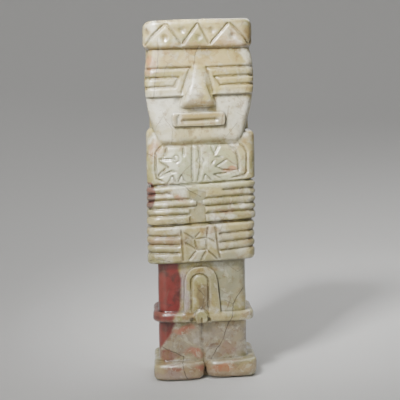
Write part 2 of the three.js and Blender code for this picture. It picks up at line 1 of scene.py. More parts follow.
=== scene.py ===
# %% [markdown]
# # A standing stone effigy
# The real figure is one long block of banded stone, ground flat, cut with grooves and polished.
# It could be sculpted by hand from the fixed model, but its soft edges are hard to repeat that way.
# Here the stone is a field of distances in small cells: blocks are joined softly, strokes are cut
# away softly, and one skin is drawn where the distance is zero. That gives worn, polished edges.

# %% Load the fixed model
import math

import bpy
import numpy as np
from mathutils import Matrix, Vector


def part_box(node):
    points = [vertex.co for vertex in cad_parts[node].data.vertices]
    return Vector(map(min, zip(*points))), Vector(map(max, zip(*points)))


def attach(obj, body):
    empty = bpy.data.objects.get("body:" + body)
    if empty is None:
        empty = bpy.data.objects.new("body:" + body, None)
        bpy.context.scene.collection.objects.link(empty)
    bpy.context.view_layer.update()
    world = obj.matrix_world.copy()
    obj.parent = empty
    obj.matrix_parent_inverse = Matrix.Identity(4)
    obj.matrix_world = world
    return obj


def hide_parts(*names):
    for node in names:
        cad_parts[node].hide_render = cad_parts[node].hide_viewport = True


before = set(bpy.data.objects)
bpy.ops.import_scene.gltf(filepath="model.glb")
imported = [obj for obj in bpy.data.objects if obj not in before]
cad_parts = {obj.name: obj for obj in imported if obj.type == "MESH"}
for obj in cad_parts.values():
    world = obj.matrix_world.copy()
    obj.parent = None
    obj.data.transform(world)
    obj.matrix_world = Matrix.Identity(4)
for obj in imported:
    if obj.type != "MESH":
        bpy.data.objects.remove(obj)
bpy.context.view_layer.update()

# %% [markdown]
# ## Sizes
# Every size below is in millimetres of the carver's drawing. The drawing is as tall as the fixed
# model, and its middle stands a little off the model's, because feet and headband are not centred.

# %% Scale and place of the drawing
low, high = (Vector(corner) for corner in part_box("carved_stone_figure"))
drawn_height = 289.5476
drawn_middle = (1.0106, -2.25)
mm = (high.z - low.z) / drawn_height
print("one drawn millimetre is", mm, "m")

# %% [markdown]
# ## Camera
# The photograph was taken from just above the belt, a hand's breadth to one side, with a long lens.
# The camera comes first, so that every later step can be looked at from the right place.

# %% Camera at the photograph's angle
azimuth = math.radians(-2.0)
elevation = math.radians(5.8)
roll = math.radians(2.0)
camera_distance = 0.781
camera_lens = 85
target = Vector((-0.00035, 0, 0.1437))

back = Vector((
    math.sin(azimuth) * math.cos(elevation),
    -math.cos(azimuth) * math.cos(elevation),
    math.sin(elevation),
))
level_right = (-back).cross(Vector((0, 0, 1))).normalized()
level_up = level_right.cross(-back)
right = math.cos(roll) * level_right - math.sin(roll) * level_up
up = math.sin(roll) * level_right + math.cos(roll) * level_up

lens = bpy.data.cameras.new("camera")
lens.lens = camera_lens
lens.sensor_width = 36
camera = bpy.data.objects.new("camera", lens)
bpy.context.scene.collection.objects.link(camera)
camera_place = target + back * camera_distance
turned = Matrix((right, up, back)).transposed().to_4x4()
camera.matrix_world = Matrix.Translation(camera_place) @ turned
bpy.context.scene.camera = camera
print("camera at", [round(value, 3) for value in camera_place], "m")

# %% [markdown]
# ## The uncut stone
# A stonecutter starts by roughing out the masses: feet, legs, kilt, belt, hands, breast, head and
# headband. Each is a block with a slightly bowed front, rounded corners and worn edges. The whole
# figure leans a little to one side, and each block is tilted by a few hundredths, as it was cut by eye.

# %% Heights and the lean of the figure
feet_height, legs_height, hem_height, skirt_height = 15.2, 30.8, 9.2, 39.6
belt_height, arms_height, chest_height = 31.2, 31.6, 43.4
chin_drop, face_height, band_height, seam = 12.8, 75.2, 23.6, 0.8

foot_top = feet_height
hem_bottom = foot_top + legs_height
hem_top = hem_bottom + hem_height
belt_bottom = hem_top + skirt_height + seam
arms_bottom = belt_bottom + belt_height + seam
chest_bottom = arms_bottom + arms_height + seam
chest_top = chest_bottom + chest_height
chin_bottom = chest_top - chin_drop
face_top = chin_bottom + face_height
crown = face_top + band_height
middle_height = crown / 2

lean = 0.0175
bow = 0.09
print("belt from", belt_bottom, "chin at", chin_bottom, "crown at", crown)

# %% A block of stone and its measures


def steady(half, front, back, corner):
    """A size that is the same at every level of a block."""
    return lambda level: (half, front, back, corner)


class Block:
    """A rounded block. Its size gives half width, front depth, back depth and corner at a level.

    rise tilts its bottom and top, and edges are how far these are rounded off. stretch draws the
    bottom edge out. side_edge makes the edges rounder or sharper at the flanks. crowned lets the
    front fall back at top and bottom, and swelling is what stands out beyond the front.
    """

    def __init__(self, bottom, top, size, centre=0.0, rise=(0.0, 0.0), edges=(3.0, 3.0),
                 stretch=1.0, side_edge=1.0, crowned=0.0, swelling=lambda off, level: 0.0):
        self.bottom, self.top, self.size, self.centre = bottom, top, size, centre
        self.rise, self.edges, self.stretch = rise, edges, stretch
        self.side_edge, self.crowned, self.swelling = side_edge, crowned, swelling

    def distance(self, x, y, z):
        """How far outside the block a point is, negative inside."""
        # The lean and the tilt are taken off the point first, so that the block stands square.
        height = self.top - self.bottom
        across = x - lean * (z - middle_height)
        share = np.clip((z - self.bottom) / height, 0, 1)
        level = z - (self.rise[0] + (self.rise[1] - self.rise[0]) * share) * across
        off = across - self.centre
        # Seen from above it is an oblong with round corners, and its front and back are bowed.
        half, front, back, corner = self.size(level)
        outward = np.minimum(np.abs(off) / half, 1)
        deep = y / (1 - bow * outward ** 2)
        swell = self.crowned * (2 * share - 1) ** 2
        aside = np.abs(off) - (half - corner)
        ahead = np.abs(deep - (back - front) / 2) - ((back + front) / 2 - corner - swell)
        plan = np.hypot(np.maximum(aside, 0), np.maximum(ahead, 0)) - corner
        plan = plan + np.minimum(np.maximum(aside, ahead), 0)
        # Bottom and top are rounded off into the sides.
        rounder = 1 + (self.side_edge - 1) * outward ** 6
        edge = np.where(share < 0.5, self.edges[0], self.edges[1]) * rounder
        over = np.abs(level - (self.bottom + self.top) / 2) - height / 2
        over = np.where(share < 0.5, over / self.stretch, over)
        a, b = plan + edge, over + edge
        outside = np.minimum(np.maximum(a, b), 0) + np.hypot(np.maximum(a, 0), np.maximum(b, 0)) - edge
        return outside - self.swelling(off, level) * (y < 0)

    def at(self, s, level, out=0.0):
        """The point s round the block from the middle of its front, lifted off it by out."""
        half, front, back, corner = self.size(level)
        quarter = math.pi / 2 * corner
        front_run, side_run = half - corner, front + back - 2 * corner
        run = abs(s)
        if run <= front_run:
            x, y, nx, ny = run, -front, 0, -1
        elif run <= front_run + quarter:
            turn = (run - front_run) / corner
            nx, ny = math.sin(turn), -math.cos(turn)
            x, y = front_run + corner * nx, -front + corner + corner * ny
        elif run <= front_run + quarter + side_run:
            x, y, nx, ny = half, -front + corner + run - front_run - quarter, 1, 0
        elif run <= front_run + 2 * quarter + side_run:
            turn = (run - front_run - quarter - side_run) / corner
            nx, ny = math.cos(turn), math.sin(turn)
            x, y = front_run + corner * nx, back - corner + corner * ny
        else:
            x, y, nx, ny = 2 * front_run + 2 * quarter + side_run - run, back, 0, 1
        side = -1 if s < 0 else 1
        across = self.centre + side * (x + out * nx)
        swollen = self.swelling(side * x, level) * (ny < 0)
        y = y * (1 - bow * (x / half) ** 2) - swollen + out * ny
        share = (level - self.bottom) / (self.top - self.bottom)
        rise = self.rise[0] + (self.rise[1] - self.rise[0]) * share
        return np.array((across + lean * (level - middle_height), y, level + rise * across))

    def half_girth(self):
        """The way round the block from the middle of its front to the middle of its back."""
        half, front, back, corner = self.size((self.bottom + self.top) / 2)
        return 2 * (half - corner) + front + back - 2 * corner + math.pi * corner

    def spot(self, across, share):
        """A place on the front: across in half widths from the middle, share of the height."""
        middle = (self.bottom + self.top) / 2
        return across * self.size(middle)[0], self.bottom + share * (self.top - self.bottom)


# %% [markdown]
# ## The field of cells
# The stone is held as one distance for each small cell. A soft join keeps the seams between blocks
# from being knife sharp, as polishing with sand and water would leave them. Only the cells near a
# block or a stroke are worked out, because the whole grid has millions of them.

# %% Cells round the figure
fine_cell, quick_cell = 0.5, 0.9
cell = fine_cell
grid_low = np.array((-50.0, -40.0, -4.0))
grid_high = np.array((50.0, 36.0, crown + 5.0))
counts = np.ceil((grid_high - grid_low) / cell).astype(int) + 1
axes = [grid_low[k] + cell * np.arange(counts[k]) for k in range(3)]
far = 8.0  # any cell not reached yet counts as this far from the stone
stone_field = np.full(counts, far, np.float32)
carved_field = np.full(counts, far, np.float32)
print("cells", counts, "of", cell, "mm")

# %% A window of cells, and joining a block to the stone


def window(from_corner, to_corner):
    """The cells between two corners: their slices, and their x, y and z to broadcast."""
    spans = []
    for k in range(3):
        first = max(int((from_corner[k] - grid_low[k]) / cell), 0)
        last = min(int((to_corner[k] - grid_low[k]) / cell) + 2, counts[k])
        spans.append(slice(first, last))
    x = axes[0][spans[0]].reshape(-1, 1, 1).astype(np.float32)
    y = axes[1][spans[1]].reshape(1, -1, 1).astype(np.float32)
    z = axes[2][spans[2]].reshape(1, 1, -1).astype(np.float32)
    return tuple(spans), x, y, z


def soft_join(a, b, softness):
    """The nearer of two distances, with the seam between their stones filled softly."""
    overlap = np.maximum(softness - np.abs(a - b), 0) / softness
    return np.minimum(a, b) - overlap * overlap * softness / 4


def add_block(block, softness=1.0, margin=5.0):
    """Joins a block to the stone so far."""
    spans, x, y, z = window(
        (grid_low[0], grid_low[1], block.bottom - margin),
        (grid_high[0], grid_high[1], block.top + margin),
    )
    stone_field[spans] = soft_join(stone_field[spans], block.distance(x, y, z), softness)


# %% Feet and legs
feet_middle, feet_half, toe_front, toe_step, heel_back = 2.1, 42.6, 35.5, 2.4, 30.5
foot_split, toe_gap, foot_corner = 1.9, 0.6, 7
sole_edges = {-1: 5.2, 1: 6.2}
seam_softness = 0.4
for side in (-1, 1):
    inner = foot_split + side * toe_gap / 2
    outer = feet_middle + side * feet_half
    toes = toe_front - (toe_step if side > 0 else 0)
    add_block(Block(
        0, foot_top, steady(abs(outer - inner) / 2, toes, heel_back, foot_corner),
        centre=(inner + outer) / 2, rise=(0, 0.018), edges=(sole_edges[side], 3.4), crowned=0.4,
    ), seam_softness)

web = Block(
    0, foot_top - 2, steady(half=14, front=toe_front - 14, back=heel_back - 8, corner=4),
    centre=feet_middle, edges=(0.1, 2),
)
add_block(web, seam_softness)
legs = Block(foot_top / 2, hem_top, steady(half=36.6, front=24.5, back=25, corner=7), centre=0.5)
add_block(legs, 1.2)
print("feet", 2 * feet_half, "mm wide under legs", 2 * legs.size(0)[0], "mm wide")

# %% Kilt with its hem, belt and hands
belt_half, arms_half, body_back = 44.2, 44.7, 28.5
hem = Block(
    hem_bottom, hem_top, steady(half=41.8, front=29, back=body_back, corner=12),
    centre=1.3, rise=(-0.012, -0.018), edges=(3.2, 3.6), crowned=0.3,
)
skirt = Block(
    hem_bottom + 2, belt_bottom + 4, steady(half=36.3, front=25.5, back=25, corner=7), centre=0.5,
)
belt = Block(
    belt_bottom, belt_bottom + belt_height, steady(belt_half, front=30.6, back=body_back, corner=9),
    centre=0.3, rise=(0.022, 0.031), edges=(3.2, 3),
)
arms = Block(
    arms_bottom, arms_bottom + arms_height, steady(arms_half, front=29.8, back=body_back, corner=9),
    centre=0.9, rise=(0.031, 0.032),
)
core = Block(
    belt_bottom + 3, chest_bottom + 8, steady(half=40.6, front=26.2, back=24.9, corner=7), centre=0.9,
)
print("belt", 2 * belt_half, "mm wide under hands", 2 * arms_half, "mm wide")

# %% Breast: it leans back to the throat and swells on each side of its middle strip
chest_half, chest_front, throat_slope = 44.3, 28.4, 6.4
breast_rise, breast_middles, breast_half_width = 1.7, (-17.5, 7.5), 10.0
breast_level, breast_half_height = chest_bottom + 0.34 * chest_height, 13.0


def chest_size(level):
    throat = np.clip((level - chest_bottom) / chest_height, 0, 1)
    return chest_half, chest_front - throat_slope * throat, body_back, 9


def breast_swelling(off, level):
    """How far the breast stands out beyond its block."""
    up = np.exp(-((level - breast_level) / breast_half_height) ** 2)
    across = sum(np.exp(-((off - middle) / breast_half_width) ** 2) for middle in breast_middles)
    return breast_rise * up * across


chest = Block(
    chest_bottom, chest_top, chest_size,
    centre=1.3, rise=(0.032, -0.05), edges=(2.6, 6), swelling=breast_swelling,
)
for block in (hem, skirt, belt, arms, chest, core):
    add_block(block)
print("breast from", chest_bottom, "to", chest_top, "mm up")

# %% [markdown]
# ### The head
# The face is a plate that stands out from the back of the head: its jaw narrows to the chin, and the
# brow and eyes stand a little in front of the cheeks. The headband is a separate, deeper block.

# %% Head, face plate and headband
neck_half, neck_front = 41, 8
face_half, cheek_front, brow_front, head_back = 44.1, 26.8, 29.6, 28
brow_level = chin_bottom + 0.7 * face_height
eye_bottom = chin_bottom + 0.516 * face_height
eye_top = chin_bottom + 0.822 * face_height
temple_taper, jaw_taper, plate_back, plate_corner = 3.3, 11.3, 2, 6.5


def smooth(value, start, end):
    """0 up to start, 1 from end on, and an even curve between."""
    t = np.clip((value - start) / (end - start), 0, 1)
    return t * t * (3 - 2 * t)


def face_size(level):
    above, below = level - brow_level, brow_level - level
    taper = np.where(
        above > 0, temple_taper * (above / (face_top - brow_level)) ** 2,
        jaw_taper * (below / (brow_level - chin_bottom)) ** 2,
    )
    step = smooth(level, eye_bottom - 0.6, eye_bottom + 0.8)
    depth = cheek_front + (brow_front - cheek_front) * step
    return face_half - taper, depth, plate_back, plate_corner


def head_size(level):
    half = neck_half + 2 * smooth(level, chin_bottom + 22, chin_bottom + 44)
    back = head_back - 3 + 3 * smooth(level, chest_top, chest_top + 20)
    return half, neck_front, back, 8


head_middle, face_rise = 0.9, (0.024, 0)
head = Block(chest_top - 8, face_top + 4, head_size, head_middle, edges=(1, 1))
face = Block(
    chin_bottom, face_top + 4, face_size, head_middle, face_rise,
    edges=(5, 1), stretch=1.5, side_edge=0.35,
)
band = Block(
    face_top, crown, steady(half=43.8, front=33, back=31, corner=10),
    rise=(-0.014, -0.004), edges=(4, 4.6), side_edge=1.4,
)
for block in (head, face, band):
    add_block(block)
print("face", 2 * face_half, "mm wide and", face_height, "mm high")

# %% Nose: a rounded wedge that widens and rises towards its tip
nose_middle, nose_front = -0.5, 34.4
nose_levels = [chin_bottom + face_height * share for share in (0.385, 0.415, 0.46, 0.53, 0.828)]
nose_wide, nose_narrow = (15.4, 14.9, 14, 12.2, 6.2), (13.4, 12.6, 11.4, 9, 4.4)
nose_rises = (0.1, 0.56, 0.9, 1, 0.1)
flank_slant, ridge_softness, tip_softness = 0.85, 3.6, 3.0


def soft_meet(a, b, softness):
    """The farther of two distances: what lies in both shapes, with a softened edge."""
    return -soft_join(-a, -b, softness)


def nose_distance(x, y, z):
    rows = (nose_wide, nose_narrow, nose_rises)
    wide, narrow, rise = (np.interp(z, nose_levels, row) for row in rows)
    depth = brow_front + (nose_front - brow_front) * rise
    up_flank = np.clip((-y - cheek_front) / (depth - cheek_front), 0, 1)
    off = np.abs(x - nose_middle - lean * (z - middle_height))
    flank = flank_slant * (off - (wide + (narrow - wide) * up_flank))
    tip = np.maximum(nose_levels[0] - z, z - nose_levels[-1] - 2)
    return soft_meet(soft_meet(flank, -y - depth, ridge_softness), tip, tip_softness)


spans, x, y, z = window((-24, -40, chin_bottom + 20), (24, -20, eye_top + 8))
stone_field[spans] = soft_join(stone_field[spans], nose_distance(x, y, z), 1.0)
print("nose from", round(nose_levels[0], 1), "to", round(nose_levels[-1], 1), "mm up")

# %% [markdown]
# ### Raised plaques
# Mouth, loincloth and knot are flat shapes left standing when the stone round them was cut back.
# Each is an outline in the front plane, with a rounded rim and a depth that it stands out to.

# %% Curves, and the distance to an outline


def bend(start, control, end, pieces=6):
    """Points along a curve from start to end, pulled towards control, without its start."""
    shares = [i / pieces for i in range(1, pieces + 1)]
    stops = list(zip(start, control, end))
    return [
        tuple((1 - t) ** 2 * a + 2 * t * (1 - t) * c + t * t * b for a, c, b in stops)
        for t in shares
    ]


def outline_distance(corners, x, z):
    """Distance in the front plane to a closed outline, negative inside it."""
    nearest = np.full((x + z).shape, 1e3, np.float32)
    inside = np.zeros(nearest.shape, bool)
    for (ax, az), (bx, bz) in zip(corners, corners[1:] + corners[:1]):
        run, climb = bx - ax, bz - az
        length = math.hypot(run, climb)
        along = np.clip(((x - ax) * run + (z - az) * climb) / length ** 2, 0, 1)
        nearest = np.minimum(nearest, np.hypot(x - ax - along * run, z - az - along * climb))
        crosses = ((az > z) != (bz > z)) & (x < ax + (z - az) * run / (climb or 1e-9))
        inside ^= crosses
    return np.where(inside, -nearest, nearest)


# %% A plaque from its outline


def add_plaque(corners, front, rim, softness=0.8, crowned=0.0):
    """Joins a flat shape that stands out to front. rim rounds its edge off."""
    xs, zs = zip(*corners)
    spans, x, y, z = window(
        (min(xs) - 4, -front - 4, min(zs) - 4), (max(xs) + 4, -front + 8, max(zs) + 4),
    )
    around = outline_distance(corners, x, z)
    middle, reach = (min(zs) + max(zs)) / 2, (max(zs) - min(zs)) / 2
    a, b = around + rim, -y - front + crowned * ((z - middle) / reach) ** 2 + rim
    plaque = np.minimum(np.maximum(a, b), 0) + np.hypot(np.maximum(a, 0), np.maximum(b, 0)) - rim
    stone_field[spans] = soft_join(stone_field[spans], plaque, softness)


# %% Mouth
mouth_middle, mouth_half, mouth_corner, lip_rise = 1.0, 21.6, 3.4, 2.8
lip_rim, lip_crown = 1.3, 0.5
mouth_low = chin_bottom + 0.188 * face_height
mouth_high = chin_bottom + 0.343 * face_height
mouth_line = (mouth_low + mouth_high) / 2 - 0.8


def rounded_oblong(left, right, low, high, r):
    """An oblong outline with round corners of radius r."""
    return (
        [(left + r, low), (right - r, low)]
        + bend((right - r, low), (right, low), (right, low + r), 3)
        + [(right, high - r)]
        + bend((right, high - r), (right, high), (right - r, high), 3)
        + [(left + r, high)]
        + bend((left + r, high), (left, high), (left, high - r), 3)
        + [(left, low + r)]
        + bend((left, low + r), (left, low), (left + r, low), 3)[:-1]
    )


lips_outline = rounded_oblong(
    mouth_middle - mouth_half, mouth_middle + mouth_half, mouth_low, mouth_high, mouth_corner,
)
add_plaque(lips_outline, cheek_front + lip_rise, lip_rim, crowned=lip_crown)
print("mouth", 2 * mouth_half, "by", round(mouth_high - mouth_low, 1), "mm")

# %% Loincloth arch and its knot
cloth_middle, arch_half, cloth_front, cloth_rim = -1.6, 14.2, 28.1, 1.2
arch_top, tongue_top, tongue_half = belt_bottom - 2.6, belt_bottom - 9.6, 6.9
arch_shoulder = arch_top - arch_half - 4
knot_middle, knot_half, knot_front, knot_rim = -2.1, 6.3, 30.9, 2
knot_low, knot_high = hem_bottom - 0.2, hem_top + 2.6


def round_top(middle, half, shoulder, top):
    """The outline of a round top, from its right shoulder over to its left one."""
    left, right, peak = (middle - half, shoulder), (middle + half, shoulder), (middle, top)
    return [
        right, *bend(right, (middle + half, top), peak), *bend(peak, (middle - half, top), left),
    ]


arch = [
    (cloth_middle - arch_half - 1, hem_bottom + 2), (cloth_middle + arch_half + 2, hem_bottom + 2),
    *round_top(cloth_middle, arch_half, arch_shoulder, arch_top),
]
add_plaque(arch, cloth_front, cloth_rim)
knot = [
    (knot_middle - knot_half + 2, knot_low), (knot_middle + knot_half - 2, knot_low),
    *round_top(knot_middle, knot_half, knot_low + 3, knot_high),
]
add_plaque(knot, knot_front, knot_rim)
uncut_field = stone_field.copy()


def litres(field):
    return round(float((field < 0).sum()) * cell ** 3 / 1e6, 3)


print("stone before carving:", litres(stone_field), "litres")

# %% [markdown]
# ## Carved strokes
# The lines were sawn and scraped with hard points, so each is a shallow V that runs out at its ends.
# Cutters could be taken out of a mesh one by one, but their crossings are hard to soften. Here each
# stroke is a row of short wedges along the surface of its block, gathered in a second field. That
# field is taken out of the stone softly, which rounds the shoulders of the strokes as wear does.

# %% One short wedge of a stroke
line_width, line_depth = 2.1, 1.4
blunt, clearance = 0.3, 1.5  # how blunt the V is, and how far above the surface it is cut away
crisp, soft, worn = 0.7, 0.9, 1.3  # how far the shoulders of strokes are rounded


def cut_wedge(a, b, outward, width, depth_a, depth_b):
    """Cuts a V from a to b on the surface. outward is the way off the stone there."""
    reach = width + clearance
    spans, x, y, z = window(np.minimum(a, b) - reach, np.maximum(a, b) + reach)
    run = b - a
    along = (x - a[0]) * run[0] + (y - a[1]) * run[1] + (z - a[2]) * run[2]
    along = np.clip(along / max(float(run @ run), 1e-6), 0, 1)
    off_x, off_y, off_z = (
        x - a[0] - along * run[0], y - a[1] - along * run[1], z - a[2] - along * run[2],
    )
    # rise is how far a cell is above the line along outward, and aside how far it is beside it.
    rise = off_x * outward[0] + off_y * outward[1] + off_z * outward[2]
    aside = np.sqrt(np.maximum(off_x ** 2 + off_y ** 2 + off_z ** 2 - rise ** 2, 0) + blunt ** 2)
    deep = depth_a + (depth_b - depth_a) * along
    flare = width / 2 / max(depth_a, depth_b)
    wedge = (aside - flare * (rise + deep)) / math.hypot(1, flare)
    carved_field[spans] = np.minimum(carved_field[spans], np.maximum(wedge, rise - clearance))


# %% A stroke over a block


def stroke(block, path, width=line_width, depth=line_depth, run_out=2.0, step=1.1):
    """Cuts a line through stops (s, level) on a block. It gets shallow over its run-outs."""
    # The path is cut into short steps, so that it follows the bow and the corners of the block.
    stops = [np.array(path[0], float)]
    for start, end in zip(path, path[1:]):
        pieces = max(int(math.dist(start, end) / step), 1)
        for i in range(1, pieces + 1):
            stops.append(np.array(start) + (np.array(end) - np.array(start)) * i / pieces)
    runs = [0.0]
    for start, end in zip(stops, stops[1:]):
        runs.append(runs[-1] + math.dist(start, end))
    # Each stop keeps its place, the same place lifted off the stone, and the depth there.
    places = []
    for stop, run in zip(stops, runs):
        from_end = min(run, runs[-1] - run)
        deep = depth * min(1.0, 0.3 + 0.7 * from_end / run_out) if run_out else depth
        places.append((block.at(*stop), block.at(*stop, 1.0), deep))
    for (a, lifted_a, deep_a), (b, lifted_b, deep_b) in zip(places, places[1:]):
        outward = lifted_a - a + lifted_b - b
        cut_wedge(a, b, outward / np.linalg.norm(outward), width, deep_a, deep_b)


# %% Drilled dots, and taking all that was cut out of the stone


def cut_ball(middle, radius):
    """Cuts a round dimple."""
    spans, x, y, z = window(middle - radius - 2, middle + radius + 2)
    away = np.sqrt((x - middle[0]) ** 2 + (y - middle[1]) ** 2 + (z - middle[2]) ** 2)
    carved_field[spans] = np.minimum(carved_field[spans], away - radius)


def clear_away(softness, bottom=-4.0, top=crown + 5.0):
    """Takes what was cut between two levels out of the stone. Softness rounds the shoulders."""
    low_corner, high_corner = (grid_low[0], grid_low[1], bottom), (grid_high[0], grid_high[1], top)
    spans, _, _, _ = window(low_corner, high_corner)
    stone_field[spans] = soft_meet(stone_field[spans], -carved_field[spans], softness)
    carved_field[spans] = far


# %% [markdown]
# ### The headband's zigzag
# A zigzag was scratched round the headband and a dimple drilled in most of its triangles. Its turns
# on the front are uneven, as the carver set them. The rest are spread evenly round to the start.

# %% Zigzag and drilled dots on the headband
zigzag_front = (-44.5, -24.8, -12.7, 0.2, 9.2, 24.8, 42)
zigzag_low, zigzag_high = band.bottom + 0.13 * band_height, band.top - 0.15 * band_height
zigzag_width, zigzag_depth, back_turns = 2.3, 1.5, 9
corners = [(s, zigzag_high if turn % 2 else zigzag_low) for turn, s in enumerate(zigzag_front)]
girth = band.half_girth()
run_round = 2 * girth - zigzag_front[-1] + zigzag_front[0]
for turn in range(1, back_turns + 2):
    s = zigzag_front[-1] + run_round * turn / (back_turns + 1)
    corners.append((s, zigzag_high if turn % 2 else zigzag_low))
for start, end in zip(corners, corners[1:]):
    past_back = 2 * girth if (start[0] + end[0]) / 2 > girth else 0
    path = [(start[0] - past_back, start[1]), (end[0] - past_back, end[1])]
    stroke(band, path, zigzag_width, zigzag_depth, run_out=1.0)
clear_away(crisp, face_top - 4)

dots = ((-26.5, 0.34), (0.4, 0.36), (27, 0.38), (-12.9, 0.68), (11, 0.64), (-41.5, 0.62))
dot_radius, dot_depth = 4.0, 0.95
for s, share in dots:
    level = zigzag_low + (zigzag_high - zigzag_low) * share
    cut_ball(band.at(s, level, dot_radius - dot_depth), dot_radius)
clear_away(soft, face_top - 4)
print(len(corners) - 1, "zigzag strokes and", len(dots), "dimples")

# %% [markdown]
# ### Eyes and mouth
# Each eye is two bent channels that run out to the temple, so the stone left between them reads as
# a bar. The mouth is a slot in its raised oblong. Both are strokes like the others, only broader.

# %% Eyes: how far out each channel bends at its top and at its bottom
eye_channel, pupil_channel, eye_depth = 2.8, 2.5, 1.6
temple = face_half + 3
eyes = (
    (-1, (7.3, 14.6), (17, 19.7), 0.02),
    (1, (5.8, 11.2), (12.3, 16.3), 0),
)


def eye_level(share):
    return eye_bottom + share * (eye_top - eye_bottom)


for side, frame_at, pupil_at, lift in eyes:
    stroke(face, [
        (side * temple, eye_level(0.94 + lift)), (side * frame_at[0], eye_level(0.93 + lift)),
        (side * frame_at[1], eye_level(0.05)),
    ], eye_channel, eye_depth)
    stroke(face, [
        (side * temple, eye_level(0.625 + lift)), (side * pupil_at[0], eye_level(0.615 + lift)),
        (side * pupil_at[1], eye_level(0.33)), (side * temple, eye_level(0.33)),
    ], pupil_channel, eye_depth)
print(len(eyes), "eyes of two channels each")

# %% Mouth: a slot and the line near its left end
slot_ends, slot_width, slot_depth = (-15, 14), 3.2, 1.7
lip_end, lip_line_width, lip_line_depth = -17.6, 2.2, 1.6
lips = Block(
    chin_bottom, face_top, steady(face_half, cheek_front + lip_rise, plate_back, plate_corner),
    head_middle, face_rise,
)
stroke(lips, [(end, mouth_line) for end in slot_ends], slot_width, slot_depth)
lip_line = [
    (lip_end + 1, mouth_high - 1), (lip_end, mouth_line + 2),
    (lip_end, mouth_line - 2), (lip_end + 1.2, mouth_low + 0.5),
]
stroke(lips, lip_line, lip_line_width, lip_line_depth)
clear_away(soft, chin_bottom - 4, face_top + 2)
print("mouth slot", slot_ends[1] - slot_ends[0], "mm long")

# %% [markdown]
# ### Breast panel
# The breast carries two barbed figures on each side of a narrow strip, inside rounded frames. They
# are freehand, so every stop of every line is given: half widths across, and a share of the height.

# %% Breast panel: strip, barbed figures and a rounded frame at each shoulder
strip_lines = (
    ((-0.158, 0), (-0.165, 0.42), (-0.156, 0.72)),
    ((-0.072, 0), (-0.014, 0.31), (-0.025, 0.47), (-0.052, 0.72)),
)
barbs = (
    ((-0.606, 0.7), (-0.66, 0.49)),
    ((-0.773, 0.454), (-0.48, 0.447), (-0.475, 0.51)),
    ((-0.76, 0.424), (-0.61, 0.31), (-0.78, 0.167)),
    ((-0.77, 0.15), (-0.625, 0.203), (-0.535, 0.234), (-0.454, 0.221)),
    ((-0.62, 0.01), (-0.52, 0.145), (-0.453, 0.01)),
    ((-0.44, 0.01), (-0.36, 0.154), (-0.273, 0.01)),
    ((-0.313, 0.71), (-0.318, 0.5)),
    ((0.169, 0.72), (0.243, 0.531), (0.34, 0.72)),
    ((0.245, 0.469), (0.39, 0.47)),
    ((0.244, 0.419), (0.179, 0.337)),
    ((0.461, 0.41), (0.269, 0.29), (0.385, 0.218), (0.63, 0.198)),
    ((0.51, 0.165), (0.235, 0.135), (0.372, 0.045)),
    ((0.019, 0.01), (0.067, 0.148), (0.191, 0.02)),
)
shoulder_frames = (
    ((0.432, 0.735), (0.539, 0.676), (0.637, 0.577), (0.67, 0.43), (0.68, 0.17)),
    ((0.677, 0.751), (0.775, 0.642), (0.84, 0.54), (0.83, 0.149), (0.774, 0.093), (0.527, 0.053)),
    ((-0.7, 0.7), (-0.82, 0.56), (-0.84, 0.27), (-0.816, 0.126), (-0.7, 0.06)),
)
rings = ((-0.449, 0.452), (-0.012, 0.407))
ring_half, ring_width, ring_depth = 2.6, 1.4, 0.7
chin_groove_half, chin_groove_width, chin_groove_depth = 31, 2.4, 1.3
print(len(strip_lines) + len(barbs) + len(shoulder_frames), "lines on the breast")

# %% Cut the breast panel


def strokes(block, figures, width=line_width, depth=line_depth):
    for figure in figures:
        stroke(block, [block.spot(*place) for place in figure], width, depth)


strokes(chest, strip_lines)
strokes(chest, barbs, line_width * 0.9, line_depth * 0.9)
for across, share in rings:
    s, level = chest.spot(across, share)
    ring = [
        (s + ring_half * math.cos(turn * math.pi / 6), level + ring_half * math.sin(turn * math.pi / 6))
        for turn in range(13)
    ]
    stroke(chest, ring, ring_width, ring_depth, run_out=0)
strokes(chest, shoulder_frames)
under_chin = [
    (s, chin_bottom + face_rise[0] * s - 0.3) for s in (-chin_groove_half, 0, chin_groove_half)
]
stroke(chest, under_chin, chin_groove_width, chin_groove_depth)
clear_away(crisp, chest_bottom - 3, chest_top)
print("rings of", 2 * ring_half, "mm and a groove under the chin")

# %% [markdown]
# ### Hands and belt
# The fingers are long bars that meet over a sunk strip, and the belt has bars on each side of a
# square panel with a rayed star. The bars are broad soft channels, and the star is cut crisply.

# %% Hands: bars for the fingers, run on round the flanks
finger_width, finger_depth, finger_run_out = 2.7, 2.0, 1.5
hand_flank = 1.55 * arms_half
# Each row: how far up the hands, and where it ends on the left and on the right, in half widths.
fingers = (
    (0.804, -0.547, 0.382),
    (0.62, -0.16, 0.03),
    (0.425, -0.1, 0.03),
    (0.238, -0.16, 0.03),
)
for share, left_end, right_end in fingers:
    level = arms_bottom + share * arms_height
    for side, end in ((-1, left_end), (1, right_end)):
        path = [(side * hand_flank, level), (end * arms_half, level)]
        stroke(arms, path, finger_width, finger_depth, finger_run_out)
print(2 * len(fingers), "finger lines")

